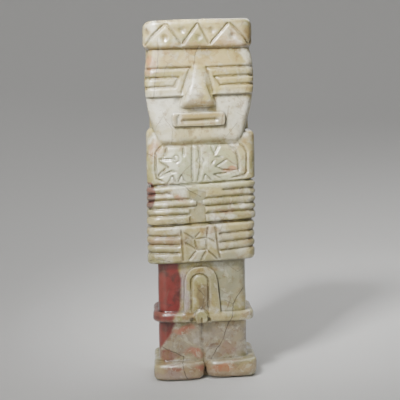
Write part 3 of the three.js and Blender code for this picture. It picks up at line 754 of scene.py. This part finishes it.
# %% The sunk strip where the fingers meet, deepest at its foot
palm_sink, sunk_below, level_above = 1.4, 0.5, 0.85
palm = (
    (-0.205, -0.04), (-0.205, 0.425), (-0.085, 0.44), (-0.07, 0.51), (-0.085, 0.6), (-0.2, 0.62),
    (-0.2, 0.8), (-0.08, 0.83), (0.065, 0.78), (0.065, 0.6), (0.015, 0.58), (0.01, 0.48),
    (0.06, 0.45), (0.06, -0.04),
)
palm_corners = [tuple(arms.at(*arms.spot(*place))[[0, 2]]) for place in palm]
spans, x, y, z = window((-15, -38, arms_bottom - 6), (10, -20, arms_bottom + arms_height + 4))
sink = palm_sink * (
    1 - smooth(z, arms_bottom + sunk_below * arms_height, arms_bottom + level_above * arms_height)
)
sunk = soft_meet(outline_distance(palm_corners, x, z), y + arms.size(0)[1] - sink, 0.8)
carved_field[spans] = np.minimum(carved_field[spans], sunk)
clear_away(worn, arms_bottom - 2, chest_bottom + 1)
print("strip sunk by", palm_sink, "mm")

# %% Belt: bars that run round to the back, on each side of the panel
bar_shares, bar_slant, bar_ends = (0.71, 0.49, 0.28), 0.05, (-17, 13.5)
to_back = belt.half_girth() + 1
for share in bar_shares:
    inner = belt_bottom + share * belt_height
    outer = belt_bottom + (share + bar_slant) * belt_height
    for side, end in zip((-1, 1), bar_ends):
        path = [(side * to_back, outer), (side * belt_half, outer), (end, inner)]
        stroke(belt, path, finger_width, finger_depth, finger_run_out)
clear_away(worn, belt_bottom - 2, arms_bottom)
print(2 * len(bar_shares), "bars on the belt")

# %% Belt panel: two sides, a square and the rays from its corners
panel_sides = (
    ((-0.365, 0.9), (-0.343, 0.37), (-0.333, 0.03)),
    ((0.262, 0.97), (0.285, 0.57), (0.31, 0.31), (0.344, 0.06)),
)
square = ((-0.13, 0.635), (0.098, 0.645), (0.095, 0.345), (-0.083, 0.345))
rays = (
    (0, (-0.328, 0.825)), (0, (-0.03, 0.81)), (1, (0.13, 0.97)), (1, (0.255, 0.51)),
    (2, (0.3, 0.05)), (2, (-0.021, 0.04)), (3, (-0.24, 0.08)), (3, (-0.3, 0.545)),
)
strokes(belt, panel_sides)
strokes(belt, [square + square[:1]], line_width * 0.9, line_depth * 0.95)
star = [(square[corner], end) for corner, end in rays]
strokes(belt, star, line_width * 0.9, line_depth * 0.95)
clear_away(crisp, belt_bottom - 2, arms_bottom)
print("star of", len(star), "rays")

# %% [markdown]
# ### Hair, loincloth and legs
# The back of the head is not seen in the photograph, so it gets a few plain locks. The loincloth is
# an arch round a tongue that hangs from the knot, and one line parts the legs, in front and behind.

# %% Hair at the back
locks, hair_share = 7, 1.7
girth = head.half_girth()
for lock in range(locks + 1):
    s = girth + (lock / locks - 0.5) * hair_share * head.size(face_top)[0]
    s = s - 2 * girth if s > girth else s
    stroke(head, [(s, chest_top + 3), (s, face_top - 1)])
print(locks + 1, "lines of hair")

# %% Loincloth: the tongue inside its arch, a notch on each side of the knot, and the knot's slit
tongue_width, tongue_depth, tongue_rise = 2, 1.5, 6.5
notch_at, notch_width, notch_depth = 6.6, 3.4, 3
slit_at, slit_width, slit_depth = 1, 1.5, 1.6
cloth = Block(
    hem_bottom, arch_top, steady(half=40, front=cloth_front, back=20, corner=5), cloth_middle,
)
tongue_round = tongue_top - tongue_rise
tongue = [(-tongue_half, hem_top + 1), (-tongue_half, tongue_round)]
for turn in range(1, 8):
    angle = math.pi * turn / 8
    tongue.append((-tongue_half * math.cos(angle), tongue_round + tongue_rise * math.sin(angle)))
tongue += [(tongue_half, tongue_round), (tongue_half, hem_top + 1)]
stroke(cloth, tongue, tongue_width, tongue_depth)
for s in (-notch_at, notch_at):
    stroke(cloth, [(s, hem_bottom - 2), (s, hem_bottom + 2.6)], notch_width, notch_depth, run_out=0)
knot_face = Block(
    hem_bottom, arch_top, steady(half=40, front=knot_front, back=20, corner=5), cloth_middle,
)
slit = [(slit_at, hem_bottom - 1), (slit_at, hem_bottom + 5)]
stroke(knot_face, slit, slit_width, slit_depth, run_out=1)
print("tongue", 2 * tongue_half, "mm wide")

# %% The line between the legs, in front and behind
stroke(legs, [(0.1, foot_top - 4), (-1, hem_bottom + 1)], width=3.4, depth=1.1, run_out=0)
girth = legs.half_girth()
stroke(legs, [(girth, foot_top - 4), (girth, hem_bottom + 1)], width=2.4, depth=1.5, run_out=0)
clear_away(0.8)
del carved_field
print("stone after carving:", litres(stone_field), "litres")

# %% [markdown]
# ## From cells to a skin
# Marching cubes would leave a staircase of slivers. Here each cell that the surface crosses gets one
# point, at the average of the crossings on its edges, and neighbours are joined by quads. The points
# are then moved to where the distance is zero, so a polished face comes out even.

# %% One point in each crossed cell
steps = [(i, j, k) for i in (0, 1) for j in (0, 1) for k in (0, 1)]


def crossed_cells(inside):
    """The cells that the surface goes through: some of their eight corners are inside."""
    cells = tuple(n - 1 for n in inside.shape)
    filled = np.zeros(cells, np.int8)
    for i, j, k in steps:
        filled += inside[i:i + cells[0], j:j + cells[1], k:k + cells[2]]
    return (filled > 0) & (filled < 8)


def cell_points(field, places):
    """One point in each cell, at the average of the crossings on its edges."""
    values = [field[places[:, 0] + i, places[:, 1] + j, places[:, 2] + k] for i, j, k in steps]
    total, hits = np.zeros((len(places), 3)), np.zeros(len(places))
    for a in range(8):
        for b in range(a + 1, 8):
            if sum(abs(p - q) for p, q in zip(steps[a], steps[b])) != 1:
                continue
            cross = (values[a] < 0) != (values[b] < 0)
            share = values[a][cross] / (values[a][cross] - values[b][cross])
            start, end = np.array(steps[a]), np.array(steps[b])
            total[cross] += start + share[:, None] * (end - start)
            hits[cross] += 1
    return places + total / hits[:, None]


# %% Quads from point to point


def quads_between(inside, number):
    """A quad round each grid edge that the surface crosses, joining the points of four cells."""
    quads = []
    for axis in range(3):
        one, two = (axis + 1) % 3, (axis + 2) % 3
        low_side = np.take(inside, range(inside.shape[axis] - 1), axis)
        high_side = np.take(inside, range(1, inside.shape[axis]), axis)
        edge = np.argwhere(low_side != high_side)
        solid_below = low_side[tuple(edge.T)]
        around = []
        for d_one, d_two in ((-1, -1), (0, -1), (0, 0), (-1, 0)):
            spot = edge.copy()
            spot[:, one] += d_one
            spot[:, two] += d_two
            around.append(number[tuple(spot.T)])
        ring = np.stack(around, 1)
        ring[~solid_below] = ring[~solid_below][:, ::-1]
        quads.append(ring)
    return np.concatenate(quads)


# %% The skin of the stone
inside = stone_field < 0
crossed = crossed_cells(inside)
places = np.argwhere(crossed)
number_of = np.full(crossed.shape, -1, np.int32)
number_of[crossed] = np.arange(len(places), dtype=np.int32)
points = grid_low + cell_points(stone_field, places) * cell
quads = quads_between(inside, number_of)
print("skin of", len(points), "points and", len(quads), "quads")

# %% [markdown]
# ### Hand-polished, not machined
# No face of the real stone is quite flat. A few long, shallow waves of fixed direction are added to
# the distance, so that reflections bend over the faces as they do on a hand-rubbed surface.

# %% Waves of the polished faces: length and height of each
wave_sizes = ((38, 0.16), (27, 0.12), (19, 0.09), (14, 0.07), (10, 0.05), (7.5, 0.035), (5.5, 0.022))
waviness = 0.35
chance = np.random.default_rng(7)
waves = []
for length, height in wave_sizes:
    for _ in range(3):
        way = chance.normal(size=3)
        way = way / np.linalg.norm(way) * 2 * math.pi / length
        waves.append((way, chance.uniform(0, 2 * math.pi), height))
print(len(waves), "waves")

# %% Distance at any place between the cells


def read_field(field, at):
    """A field's distance at any points, read between the cells."""
    place = (at - grid_low) / cell
    base = np.clip(np.floor(place).astype(int), 0, np.array(field.shape) - 2)
    t = place - base
    result = np.zeros(len(at))
    for i in (0, 1):
        for j in (0, 1):
            for k in (0, 1):
                weight = (
                    (t[:, 0] if i else 1 - t[:, 0]) * (t[:, 1] if j else 1 - t[:, 1])
                    * (t[:, 2] if k else 1 - t[:, 2])
                )
                result += weight * field[base[:, 0] + i, base[:, 1] + j, base[:, 2] + k]
    return result


# %% The waved surface, its slope and how it bends


def surface(at):
    """How far points are outside the waved surface. The waves only take stone away."""
    uneven = sum(height * (1 + np.sin(at @ way + phase)) for way, phase, height in waves)
    return read_field(stone_field, at) + waviness * uneven


def slope(at, step=0.35):
    """The way off the surface, measured over a small step to each side."""
    sides = []
    for k in range(3):
        shift = np.zeros(3)
        shift[k] = step
        sides.append((surface(at + shift) - surface(at - shift)) / (2 * step))
    return np.stack(sides, 1)


def bending(at, step=0.55):
    """How sharply the surface bends, per millimetre: above 0 on an edge, below 0 in a hollow."""
    total = -6 * surface(at)
    for k in range(3):
        shift = np.zeros(3)
        shift[k] = step
        total += surface(at + shift) + surface(at - shift)
    return total / step ** 2


# %% Settle the points on the surface


def settle(at, rounds=2, longest=0.5):
    """Moves points along the slope to where the distance is zero."""
    for _ in range(rounds):
        way = slope(at)
        strength = np.maximum((way ** 2).sum(1), 0.25)
        move = (surface(at) / strength)[:, None] * way
        at = at - np.clip(move, -longest, longest)
    return at


points = settle(points)
print("farthest point off the surface", round(float(np.abs(surface(points)).max()), 3), "mm")

# %% [markdown]
# ### A mesh of sensible size
# The full skin has nearly a million triangles. Most lie on plain faces where they are not needed, so
# it is thinned to what the carving needs, settled on the surface once more, and given the surface's
# own normals. That keeps the gloss smooth across long thin triangles.

# %% Build the skin as a mesh and thin it


def mesh_from(name, points, quads):
    """A mesh straight from lists of points and quads, which is quick for many faces."""
    mesh = bpy.data.meshes.new(name)
    mesh.vertices.add(len(points))
    mesh.vertices.foreach_set("co", np.ascontiguousarray(points, np.float32).ravel())
    mesh.loops.add(4 * len(quads))
    mesh.loops.foreach_set("vertex_index", np.ascontiguousarray(quads, np.int32).ravel())
    mesh.polygons.add(len(quads))
    mesh.polygons.foreach_set("loop_start", np.arange(0, 4 * len(quads), 4, dtype=np.int32))
    mesh.update(calc_edges=True)
    return mesh


most_triangles = 190000
rough = bpy.data.objects.new("rough_stone", mesh_from("rough_stone", points, quads))
bpy.context.scene.collection.objects.link(rough)
thinning = rough.modifiers.new("thinning", "DECIMATE")
thinning.ratio = min(1.0, most_triangles / (2 * len(quads)))
thinned = rough.evaluated_get(bpy.context.evaluated_depsgraph_get())
thin_mesh = bpy.data.meshes.new_from_object(thinned)
bpy.data.objects.remove(rough)
print("thinned from", 2 * len(quads), "to", len(thin_mesh.polygons), "faces")

# %% Settle the points again and put them in the fixed model's place
drawn = np.empty(3 * len(thin_mesh.vertices))
thin_mesh.vertices.foreach_get("co", drawn)
drawn = settle(drawn.reshape(-1, 3))
drawn[:, 2] = np.maximum(drawn[:, 2], 0)
normals = slope(drawn)
normals /= np.linalg.norm(normals, axis=1)[:, None]

stands_at = np.array(((low.x + high.x) / 2, (low.y + high.y) / 2, low.z))
moved = drawn - np.array((*drawn_middle, 0.0))
thin_mesh.vertices.foreach_set("co", (moved * mm + stands_at).ravel())
thin_mesh.update()
thin_mesh.shade_smooth()
thin_mesh.normals_split_custom_set_from_vertices([tuple(n) for n in normals])
print("settled from", round(float(drawn[:, 2].min()), 2), "to", round(float(drawn[:, 2].max()), 2), "mm up")

# %% Note at each point how deep it was cut and how sharply it bends, for dirt and painted shade in the grooves, painted shade in the hollows, and a painted highlight with rubbed wear on the edges
groove_starts, groove_fades = 0.2, 0.9
below = -read_field(uncut_field, drawn)
bends = bending(drawn)
marks = {
    "groove": np.clip((below - groove_starts) / groove_fades, 0, 1),
    "hollow": np.clip(-bends, 0, 1),
    "edge": np.clip(bends, 0, 1),
}
for name, values in marks.items():
    mark = thin_mesh.attributes.new(name, "FLOAT", "POINT")
    mark.data.foreach_set("value", values.astype(np.float32))
    print(name, "mean", round(float(values.mean()), 3))

figure = bpy.data.objects.new("carved_figure", thin_mesh)
bpy.context.scene.collection.objects.link(figure)
print("figure of", len(thin_mesh.vertices), "points and", len(thin_mesh.polygons), "faces")

# %% [markdown]
# ## The finish of the stone
# The stone is a cream and olive one with whiter clouds, tan stains, a red band down one side and dark
# hairline cracks. A photograph of stone could be wrapped round it, but would stretch at the edges.
# Colour that depends only on the place inside the block runs through the stone from face to face.

# %% Small helpers that join shader nodes
stone = bpy.data.materials.new("banded_stone")
stone.use_nodes = True
nodes, joins = stone.node_tree.nodes, stone.node_tree.links
shader = nodes["Principled BSDF"]


def add_node(kind, values=(), **settings):
    """A node with its settings. Each value is a number for a socket, or a socket to join to it."""
    made = nodes.new(kind)
    for name, value in settings.items():
        setattr(made, name, value)
    for key, value in dict(values).items():
        if isinstance(value, bpy.types.NodeSocket):
            joins.new(value, made.inputs[key])
        else:
            made.inputs[key].default_value = value
    return made


# %% Sums, fades, clouds and blends as nodes


def number(operation, a, b=0.0, clamped=False):
    return add_node("ShaderNodeMath", {0: a, 1: b}, operation=operation, use_clamp=clamped).outputs[0]


def vector(operation, a, b=(0, 0, 0)):
    made = add_node("ShaderNodeVectorMath", {0: a, 1: b}, operation=operation)
    return made.outputs["Value" if operation in ("LENGTH", "DOT_PRODUCT") else "Vector"]


def fade(value, start, end):
    """0 below start, 1 above end, smooth between. Start may be the larger one."""
    made = add_node(
        "ShaderNodeMapRange", {"Value": value, "From Min": start, "From Max": end},
        interpolation_type="SMOOTHSTEP",
    )
    return made.outputs["Result"]


def clouds(place, size, detail=3.0, roughness=0.55):
    """Soft clouds of about a size in millimetres, as a number (Fac) or as three (Color)."""
    values = {"Vector": place, "Scale": 1 / size, "Detail": detail, "Roughness": roughness}
    return add_node("ShaderNodeTexNoise", values).outputs


def blend(share, under, over):
    """The colour under, covered by the colour over as far as share says."""
    made = add_node("ShaderNodeMix", {0: share, 6: under, 7: over}, data_type="RGBA")
    return made.outputs[2]


# %% Colours as they are seen
depth_of_colour = 2.9


def colour(red, green, blue):
    """A colour as seen, 0 to 255, made deeper, since strong light pales it again."""
    return (*((c / 255) ** depth_of_colour for c in (red, green, blue)), 1.0)


# %% Places in millimetres, and the same places pushed about for ragged edges
ragged_reach, wavering_reach = 16, 3.2
object_place = add_node("ShaderNodeTexCoord").outputs["Object"]
place = vector("MULTIPLY", object_place, (1 / mm, 1 / mm, 1 / mm))


def pushed(clouds_there, reach):
    """The place, pushed about by clouds, half of reach to each side at most."""
    push = vector("SUBTRACT", clouds_there["Color"], (0.5, 0.5, 0.5))
    return vector("ADD", place, vector("MULTIPLY", push, (reach, reach, reach)))


ragged = pushed(clouds(place, 14, 4), ragged_reach)
wavering = pushed(clouds(place, 9, 3, 0.5), wavering_reach)
print("edges ragged by", ragged_reach / 2, "mm and wavering by", wavering_reach / 2, "mm at most")

# %% Cream ground with olive and white clouds
cream, olive, white = colour(194, 182, 134), colour(160, 156, 106), colour(228, 226, 210)
tan, rose = colour(164, 130, 82), colour(178, 134, 110)
ground = blend(fade(clouds(ragged, 26, 3)["Fac"], 0.42, 0.62), cream, olive)
ground = blend(fade(clouds(ragged, 17, 4)["Fac"], 0.5, 0.68), ground, white)
stain = number("MULTIPLY", fade(clouds(wavering, 9, 5, 0.62)["Fac"], 0.54, 0.7), 0.55)
ground = blend(stain, ground, tan)
blush = number("MULTIPLY", fade(clouds(ragged, 21, 4, 0.6)["Fac"], 0.62, 0.78), 0.45)
ground = blend(blush, ground, rose)
print("clouds of", len(nodes), "nodes so far")

# %% [markdown]
# ### Broad areas of colour
# Each area is a soft egg-shaped region inside the block, with a ragged edge. The red one reaches deep
# into the stone, so it also shows on the flank. The others colour the front only. A few of them are
# painted highlights and painted shade, as noted beside them.

# %% Areas: middle (across, deep, up), half sizes, colour, strength
red, dark_red = colour(146, 40, 34), colour(104, 28, 26)
salmon, orange, ochre = colour(190, 96, 68), colour(190, 116, 64), colour(168, 132, 70)
green_white, buff, clay = colour(184, 188, 156), colour(198, 180, 134), colour(160, 118, 84)
brown, lilac, moss = colour(116, 92, 68), colour(164, 146, 142), colour(188, 184, 134)
front = -28
areas = (
    ((0, front, 281), (60, 16, 6), cream, 0.6),
    ((33, front, 272), (16, 14, 9), tan, 0.4),
    # Painted shade where the headband's lower edge turns under.
    ((0, front, 267), (50, 14, 3.6), tan, 0.5),
    ((-5, front, 256), (48, 14, 7), buff, 0.7),
    ((-38, front, 255), (6, 14, 9), salmon, 0.45),
    ((-42, -20, 266), (5, 14, 7), tan, 0.5),
    ((0, front, 238), (60, 14, 12), colour(188, 176, 118), 0.65),
    ((-26, front, 217), (18, 16, 15), white, 0.9),
    ((28, front, 216), (15, 16, 18), white, 0.85),
    # Painted highlight on the nose's left flank.
    ((-5, -34, 236), (7, 12, 14), white, 0.8),
    # Painted shade on the underside of the nose and just below it.
    ((2, -34, 221), (14, 12, 5), tan, 0.6),
    # Painted highlight across the chin.
    ((0, front, 199), (36, 14, 8), colour(208, 200, 164), 0.75),
    # Painted shade where the chin turns under.
    ((0, front, 192), (38, 14, 3), colour(176, 154, 96), 0.45),
    ((0, front, 174), (42, 16, 19), green_white, 0.85),
    ((-37, front, 188), (8, 16, 8), salmon, 0.35),
    ((-33, front, 189), (3, 12, 3), tan, 0.7),
    ((25, front, 170), (6, 12, 3), orange, 0.75),
    ((-3, front, 140), (7, 12, 12), colour(178, 178, 148), 0.8),
    ((-16, front, 148), (5, 12, 2.6), orange, 0.6),
    ((20, front, 138), (6, 12, 2.4), clay, 0.7),
    ((0, front, 112), (60, 16, 13), colour(174, 164, 118), 0.5),
    ((-32, front, 113), (16, 14, 4), clay, 0.6),
    ((-14, front, 113), (4, 12, 3), brown, 0.6),
    ((5, front, 122), (9, 12, 3), tan, 0.5),
    ((22, front, 84), (20, 20, 22), colour(166, 166, 146), 0.8),
    ((2, front, 90), (10, 12, 4), ochre, 0.7),
    ((0, front, 78), (14, 12, 22), colour(160, 152, 98), 0.6),
    ((-17, front, 74), (4, 12, 20), colour(186, 172, 172), 0.9),
    ((-1, front, 68), (6, 12, 13), brown, 0.75),
    ((-2, front, 81), (5, 12, 3.4), moss, 0.7),
    ((-2, -34, 52), (6, 10, 6), moss, 0.8),
    ((-13, front, 53), (5, 12, 5), clay, 0.5),
    ((0, front, 30), (50, 50, 16), colour(160, 150, 136), 0.95),
    ((-21, front, 38), (8, 12, 3.6), salmon, 0.6),
    ((-15, front, 42), (5, 12, 3), salmon, 0.6),
    ((-9, front, 21), (9, 12, 4), salmon, 0.6),
    ((-33, front, 19), (13, 14, 5), colour(132, 26, 24), 0.95),
    ((19, front, 22), (10, 12, 7), colour(164, 124, 112), 0.6),
    ((5, front, 26), (4, 10, 1.6), dark_red, 0.6),
    ((0, -30, 6), (50, 20, 8), colour(160, 132, 112), 0.85),
    ((-5, -36, 10), (6, 10, 4), salmon, 0.6),
    ((-28, -36, 11), (9, 10, 2), red, 0.6),
    ((13, -34, 10), (10, 12, 3.4), orange, 0.6),
    ((-30, -30, 5), (14, 18, 4), lilac, 0.6),
    ((32, -30, 8), (12, 18, 6), buff, 0.5),
)
print(len(areas), "areas of colour")

# %% Lay the areas over the ground, each a little patchy, and the mouth held to its raised lips
outer_edge, inner_edge = 1.3, 0.7
lips_middle, lips_reach, lips_tone = (0, -30, 210.7), (60, 4.2, 12), colour(166, 148, 96)
patchy = number("MULTIPLY", fade(clouds(ragged, 7, 5, 0.6)["Fac"], 0.38, 0.6), 0.3)
patchy = number("ADD", 0.7, patchy)


def area_share(middle, half_sizes, outer=outer_edge, inner=inner_edge, at=ragged):
    """1 inside an egg-shaped region, 0 outside it. outer and inner are shares of its half sizes."""
    off = vector("MULTIPLY", vector("SUBTRACT", at, middle), tuple(1 / half for half in half_sizes))
    return fade(vector("LENGTH", off), outer, inner)


for middle, half_sizes, tint, strength in areas:
    share = number("MULTIPLY", area_share(middle, half_sizes), strength)
    ground = blend(number("MULTIPLY", share, patchy), ground, tint)
lips_share = number("MULTIPLY", area_share(lips_middle, lips_reach, at=wavering), 0.9)
ground = blend(lips_share, ground, lips_tone)
print("areas laid with", len(nodes), "nodes so far")

# %% Small mottling over all of it
flecks = number("MULTIPLY", fade(clouds(wavering, 5, 5, 0.65)["Fac"], 0.52, 0.64), 0.5)
ground = blend(flecks, ground, colour(142, 112, 68))
pale_flecks = number("MULTIPLY", fade(clouds(ragged, 6.5, 4, 0.6)["Fac"], 0.53, 0.65), 0.55)
ground = blend(pale_flecks, ground, colour(206, 202, 180))
print("ground of", len(nodes), "nodes so far")

# %% The red band down the left side: middle, half sizes and the level each part ends at
red_outer, red_inner = 1.05, 0.97
red_parts = (
    ((-54, -5, 76), (40, 36, 60), belt_bottom),
    ((-51, -10, 45), (23, 30, 24), belt_bottom),
    ((-50, -26, 152), (13.5, 34, 15), chest_bottom + 2),
)
level_of = add_node("ShaderNodeSeparateXYZ", {0: place}).outputs["Z"]
wine, dark_wine = colour(142, 16, 14), colour(100, 8, 10)
deep_red = blend(fade(clouds(ragged, 12, 4)["Fac"], 0.4, 0.65), wine, dark_wine)
for middle, half_sizes, top in red_parts:
    part = area_share(middle, half_sizes, red_outer, red_inner, wavering)
    ground = blend(number("MULTIPLY", part, fade(level_of, top, top - 1)), ground, deep_red)
print(len(red_parts), "parts of the red band")

# %% [markdown]
# ### Cracks and veins
# The cracks are thin sheets of dark mineral that run through the block. Each is a row of straight
# runs in the front plane, measured from wavering places, so that it trembles as it goes.

# %% Cracks along rows of stops (across, up), with width and strength
cracks = (
    (((31, 73), (23, 60), (21.5, 50), (13.7, 31), (4, 16)), 0.55, 0.85),
    (((16, 64), (23, 60)), 0.4, 0.6),
    (((-38, 27), (-28, 22), (-19, 18), (-20, 13), (-17, 2)), 0.55, 0.85),
    (((-30, 275), (-31, 254), (-33, 244), (-35, 229)), 0.5, 0.7),
    (((-34, 259), (-34, 230)), 0.3, 0.5),
    (((2, 268), (-1, 263), (-3, 250)), 0.45, 0.7),
    (((-46, 186), (-35, 181), (-34, 166)), 0.5, 0.8),
    (((-23, 159), (-13, 158), (-9, 154), (-1, 149)), 0.5, 0.85),
    (((-21, 202), (-22, 192)), 0.35, 0.6),
    (((21, 196), (25, 200), (31, 207)), 0.35, 0.6),
    (((31, 215), (37, 212)), 0.3, 0.5),
    (((-43, 98), (-36, 100), (-27, 97)), 0.5, 0.8),
    (((-15, 282), (3, 276)), 0.3, 0.5),
    (((-4, 237), (5, 234)), 0.3, 0.5),
    (((-6, 75), (0, 68), (-3, 57)), 0.45, 0.7),
    (((-17, 86), (-16, 62)), 0.4, 0.5),
    (((20, 92), (27, 86), (33, 90)), 0.35, 0.5),
)
crack_dark = colour(84, 74, 70)
print(len(cracks), "cracks")

# %% Draw the cracks: they stop short of the back
crack_end, crack_fade = 18, 8
in_front = vector("MULTIPLY", wavering, (1, 0, 1))
depth_of = add_node("ShaderNodeSeparateXYZ", {0: place}).outputs["Y"]
front_only = fade(depth_of, crack_end, crack_fade)


def crack_share(start, end, width):
    """1 on the line from start to end, 0 from width on."""
    run = (end[0] - start[0], 0, end[1] - start[1])
    span = run[0] ** 2 + run[2] ** 2
    off = vector("SUBTRACT", in_front, (start[0], 0, start[1]))
    along = number("DIVIDE", vector("DOT_PRODUCT", off, run), span, clamped=True)
    nearest = add_node("ShaderNodeVectorMath", {0: run, "Scale": along}, operation="SCALE").outputs[0]
    return fade(vector("LENGTH", vector("SUBTRACT", off, nearest)), width, width * 0.3)


cracked = None
for stops, width, strength in cracks:
    for start, end in zip(stops, stops[1:]):
        share = number("MULTIPLY", crack_share(start, end, width), strength)
        cracked = share if cracked is None else number("MAXIMUM", cracked, share)
cracked = number("MULTIPLY", cracked, front_only)
cracked = number("MULTIPLY", cracked, fade(clouds(place, 4, 2)["Fac"], 0.2, 0.5))
print("cracks run in to", crack_end, "mm behind the middle")

# %% A net of fine veins all through the block, strong in places
net = add_node(
    "ShaderNodeTexVoronoi", {"Vector": wavering, "Scale": 1 / 26}, feature="DISTANCE_TO_EDGE",
).outputs["Distance"]
veins = number("MULTIPLY", fade(net, 0.02, 0.004), fade(clouds(place, 18, 2)["Fac"], 0.48, 0.66))
fine_net = add_node(
    "ShaderNodeTexVoronoi", {"Vector": wavering, "Scale": 1 / 9}, feature="DISTANCE_TO_EDGE",
).outputs["Distance"]
fine = number("MULTIPLY", fade(fine_net, 0.035, 0.0), fade(clouds(place, 12, 2)["Fac"], 0.52, 0.7))
ground = blend(number("MULTIPLY", veins, 0.5), ground, colour(120, 84, 70))
ground = blend(number("MULTIPLY", fine, 0.3), ground, colour(150, 120, 98))
ground = blend(cracked, ground, crack_dark)
print("veins and cracks laid with", len(nodes), "nodes so far")

# %% Grain, dirt and painted shade in the grooves, painted shade in the hollows, and a painted highlight with rubbed wear on the edges
grain = clouds(place, 0.9, 4, 0.7)["Fac"]
ground = blend(number("MULTIPLY", fade(grain, 0.5, 0.75), 0.14), ground, colour(140, 128, 100))
in_groove, in_hollow, on_edge = (
    add_node("ShaderNodeAttribute", attribute_name=name).outputs["Fac"] for name in marks
)
groove_dirt_and_shade, painted_hollow_shade, painted_edge_highlight_and_wear = colour(110, 96, 68), colour(62, 52, 40), colour(222, 218, 198)
# The grooves are darkened, partly as dirt and partly as painted shade.
ground = blend(number("MULTIPLY", in_groove, 0.25), ground, groove_dirt_and_shade)
# Painted shade in the hollows and in the seams between blocks.
ground = blend(number("MULTIPLY", in_hollow, 0.55), ground, painted_hollow_shade)
# Painted highlight along the edges, partly rubbed wear.
ground = blend(number("MULTIPLY", on_edge, 0.24), ground, painted_edge_highlight_and_wear)
joins.new(ground, shader.inputs["Base Color"])
print("colour of", len(nodes), "nodes")

# %% [markdown]
# ### Polish
# The stone was rubbed with sand and water until it shone. A glossy coat over a slightly cloudy gloss
# gives that. Two bumps bend the reflections: a broad one of the rubbing and a fine one of the grain.

# %% Polish
dull = number("ADD", 0.2, number("MULTIPLY", clouds(place, 5, 4)["Fac"], 0.16))
dull = number("ADD", dull, number("MULTIPLY", in_groove, 0.2))
joins.new(dull, shader.inputs["Roughness"])
shader.inputs["IOR"].default_value = 1.6
shader.inputs["Coat Weight"].default_value = 1.0
shader.inputs["Coat Roughness"].default_value = 0.16
rubbed = add_node(
    "ShaderNodeBump", {"Height": clouds(place, 15, 2)["Fac"], "Strength": 1.0, "Distance": 1.6 * mm},
).outputs["Normal"]
texture = number("ADD", number("MULTIPLY", grain, 0.5), clouds(place, 2.6, 3)["Fac"])
relief = add_node(
    "ShaderNodeBump", {"Height": texture, "Strength": 0.12, "Distance": 0.2 * mm, "Normal": rubbed},
)
joins.new(relief.outputs["Normal"], shader.inputs["Normal"])
thin_mesh.materials.clear()
thin_mesh.materials.append(stone)
print("finish of", len(nodes), "nodes")

# %% [markdown]
# ## Floor and light
# A pale sheet that curves up all round the figure hides the horizon. A small lamp stands high to the
# left and rather near, so the head is brighter than the feet and every ledge throws a short shadow. A
# broad soft box below it gives the sheen of polished stone. The lamps themselves stay out of view.

# %% Pale floor that curves up all round
flat_radius, curve_radius, wall_height = 0.7, 1.9, 2.8
curve_steps, around = 32, 72
profile = [(flat_radius, 0.0)]
for step in range(1, curve_steps + 1):
    angle = math.pi / 2 * step / curve_steps
    profile.append((
        flat_radius + curve_radius * math.sin(angle), curve_radius * (1 - math.cos(angle)),
    ))
profile.append((flat_radius + curve_radius, wall_height))
angles = [2 * math.pi * turn / around for turn in range(around)]
rim = [(math.cos(angle), math.sin(angle)) for angle in angles]
floor_points = [(radius * x, radius * y, z) for radius, z in profile for x, y in rim]
floor_faces = [tuple(range(around))]
for ring in range(len(profile) - 1):
    under, over = ring * around, (ring + 1) * around
    for turn in range(around):
        after = (turn + 1) % around
        floor_faces.append((under + turn, over + turn, over + after, under + after))
floor_mesh = bpy.data.meshes.new("floor")
floor_mesh.from_pydata(floor_points, [], floor_faces)
floor_mesh.shade_smooth()
floor = bpy.data.objects.new("floor", floor_mesh)
bpy.context.scene.collection.objects.link(floor)
pale = bpy.data.materials.new("pale_floor")
pale.use_nodes = True
pale_shader = pale.node_tree.nodes["Principled BSDF"]
pale_shader.inputs["Base Color"].default_value = (0.55, 0.545, 0.53, 1)
pale_shader.inputs["Roughness"].default_value = 0.75
floor_mesh.materials.append(pale)
print("floor", 2 * (flat_radius + curve_radius), "m across")

# %% Soft lamps


def soft_light(name, place, width, power, aim=(0, 0, 0.15), spread=180):
    """A square lamp at a place in metres, turned towards aim. A small spread keeps it in a beam."""
    light = bpy.data.lights.new(name, "AREA")
    light.size = width
    light.energy = power
    light.spread = math.radians(spread)
    lamp = bpy.data.objects.new(name, light)
    lamp.location = place
    lamp.rotation_euler = (Vector(aim) - Vector(place)).to_track_quat("-Z", "Y").to_euler()
    lamp.visible_camera = False
    bpy.context.scene.collection.objects.link(lamp)
    return lamp


soft_light("key", (-0.22, -0.4, 0.62), width=0.12, power=0.75, aim=(0, 0, 0.26), spread=46)
soft_light("sheen", (-0.36, -0.7, 0.42), width=0.4, power=3.3, aim=(0, 0, 0.22))
soft_light("fill", (1.3, -1.15, 0.9), width=0.8, power=1.2)
soft_light("back", (0.3, 0.8, 0.9), width=0.6, power=4)
soft_light("wall", (0, 0.2, 2.2), width=1.6, power=26, aim=(0, 1.6, 0.5))
print(len(bpy.data.lights), "lamps")

# %% A faint even light from all round
world = bpy.data.worlds.new("studio")
world.use_nodes = True
sky = world.node_tree.nodes["Background"]
sky.inputs["Color"].default_value = (0.82, 0.84, 0.88, 1)
sky.inputs["Strength"].default_value = 0.06
bpy.context.scene.world = world
print("even light of strength", sky.inputs["Strength"].default_value)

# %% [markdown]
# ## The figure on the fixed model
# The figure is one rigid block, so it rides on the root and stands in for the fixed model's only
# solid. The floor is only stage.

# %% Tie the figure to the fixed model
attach(figure, "root")
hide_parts("carved_stone_figure")
print(figure.name, "rides on the root, and the", floor.name, "is stage")
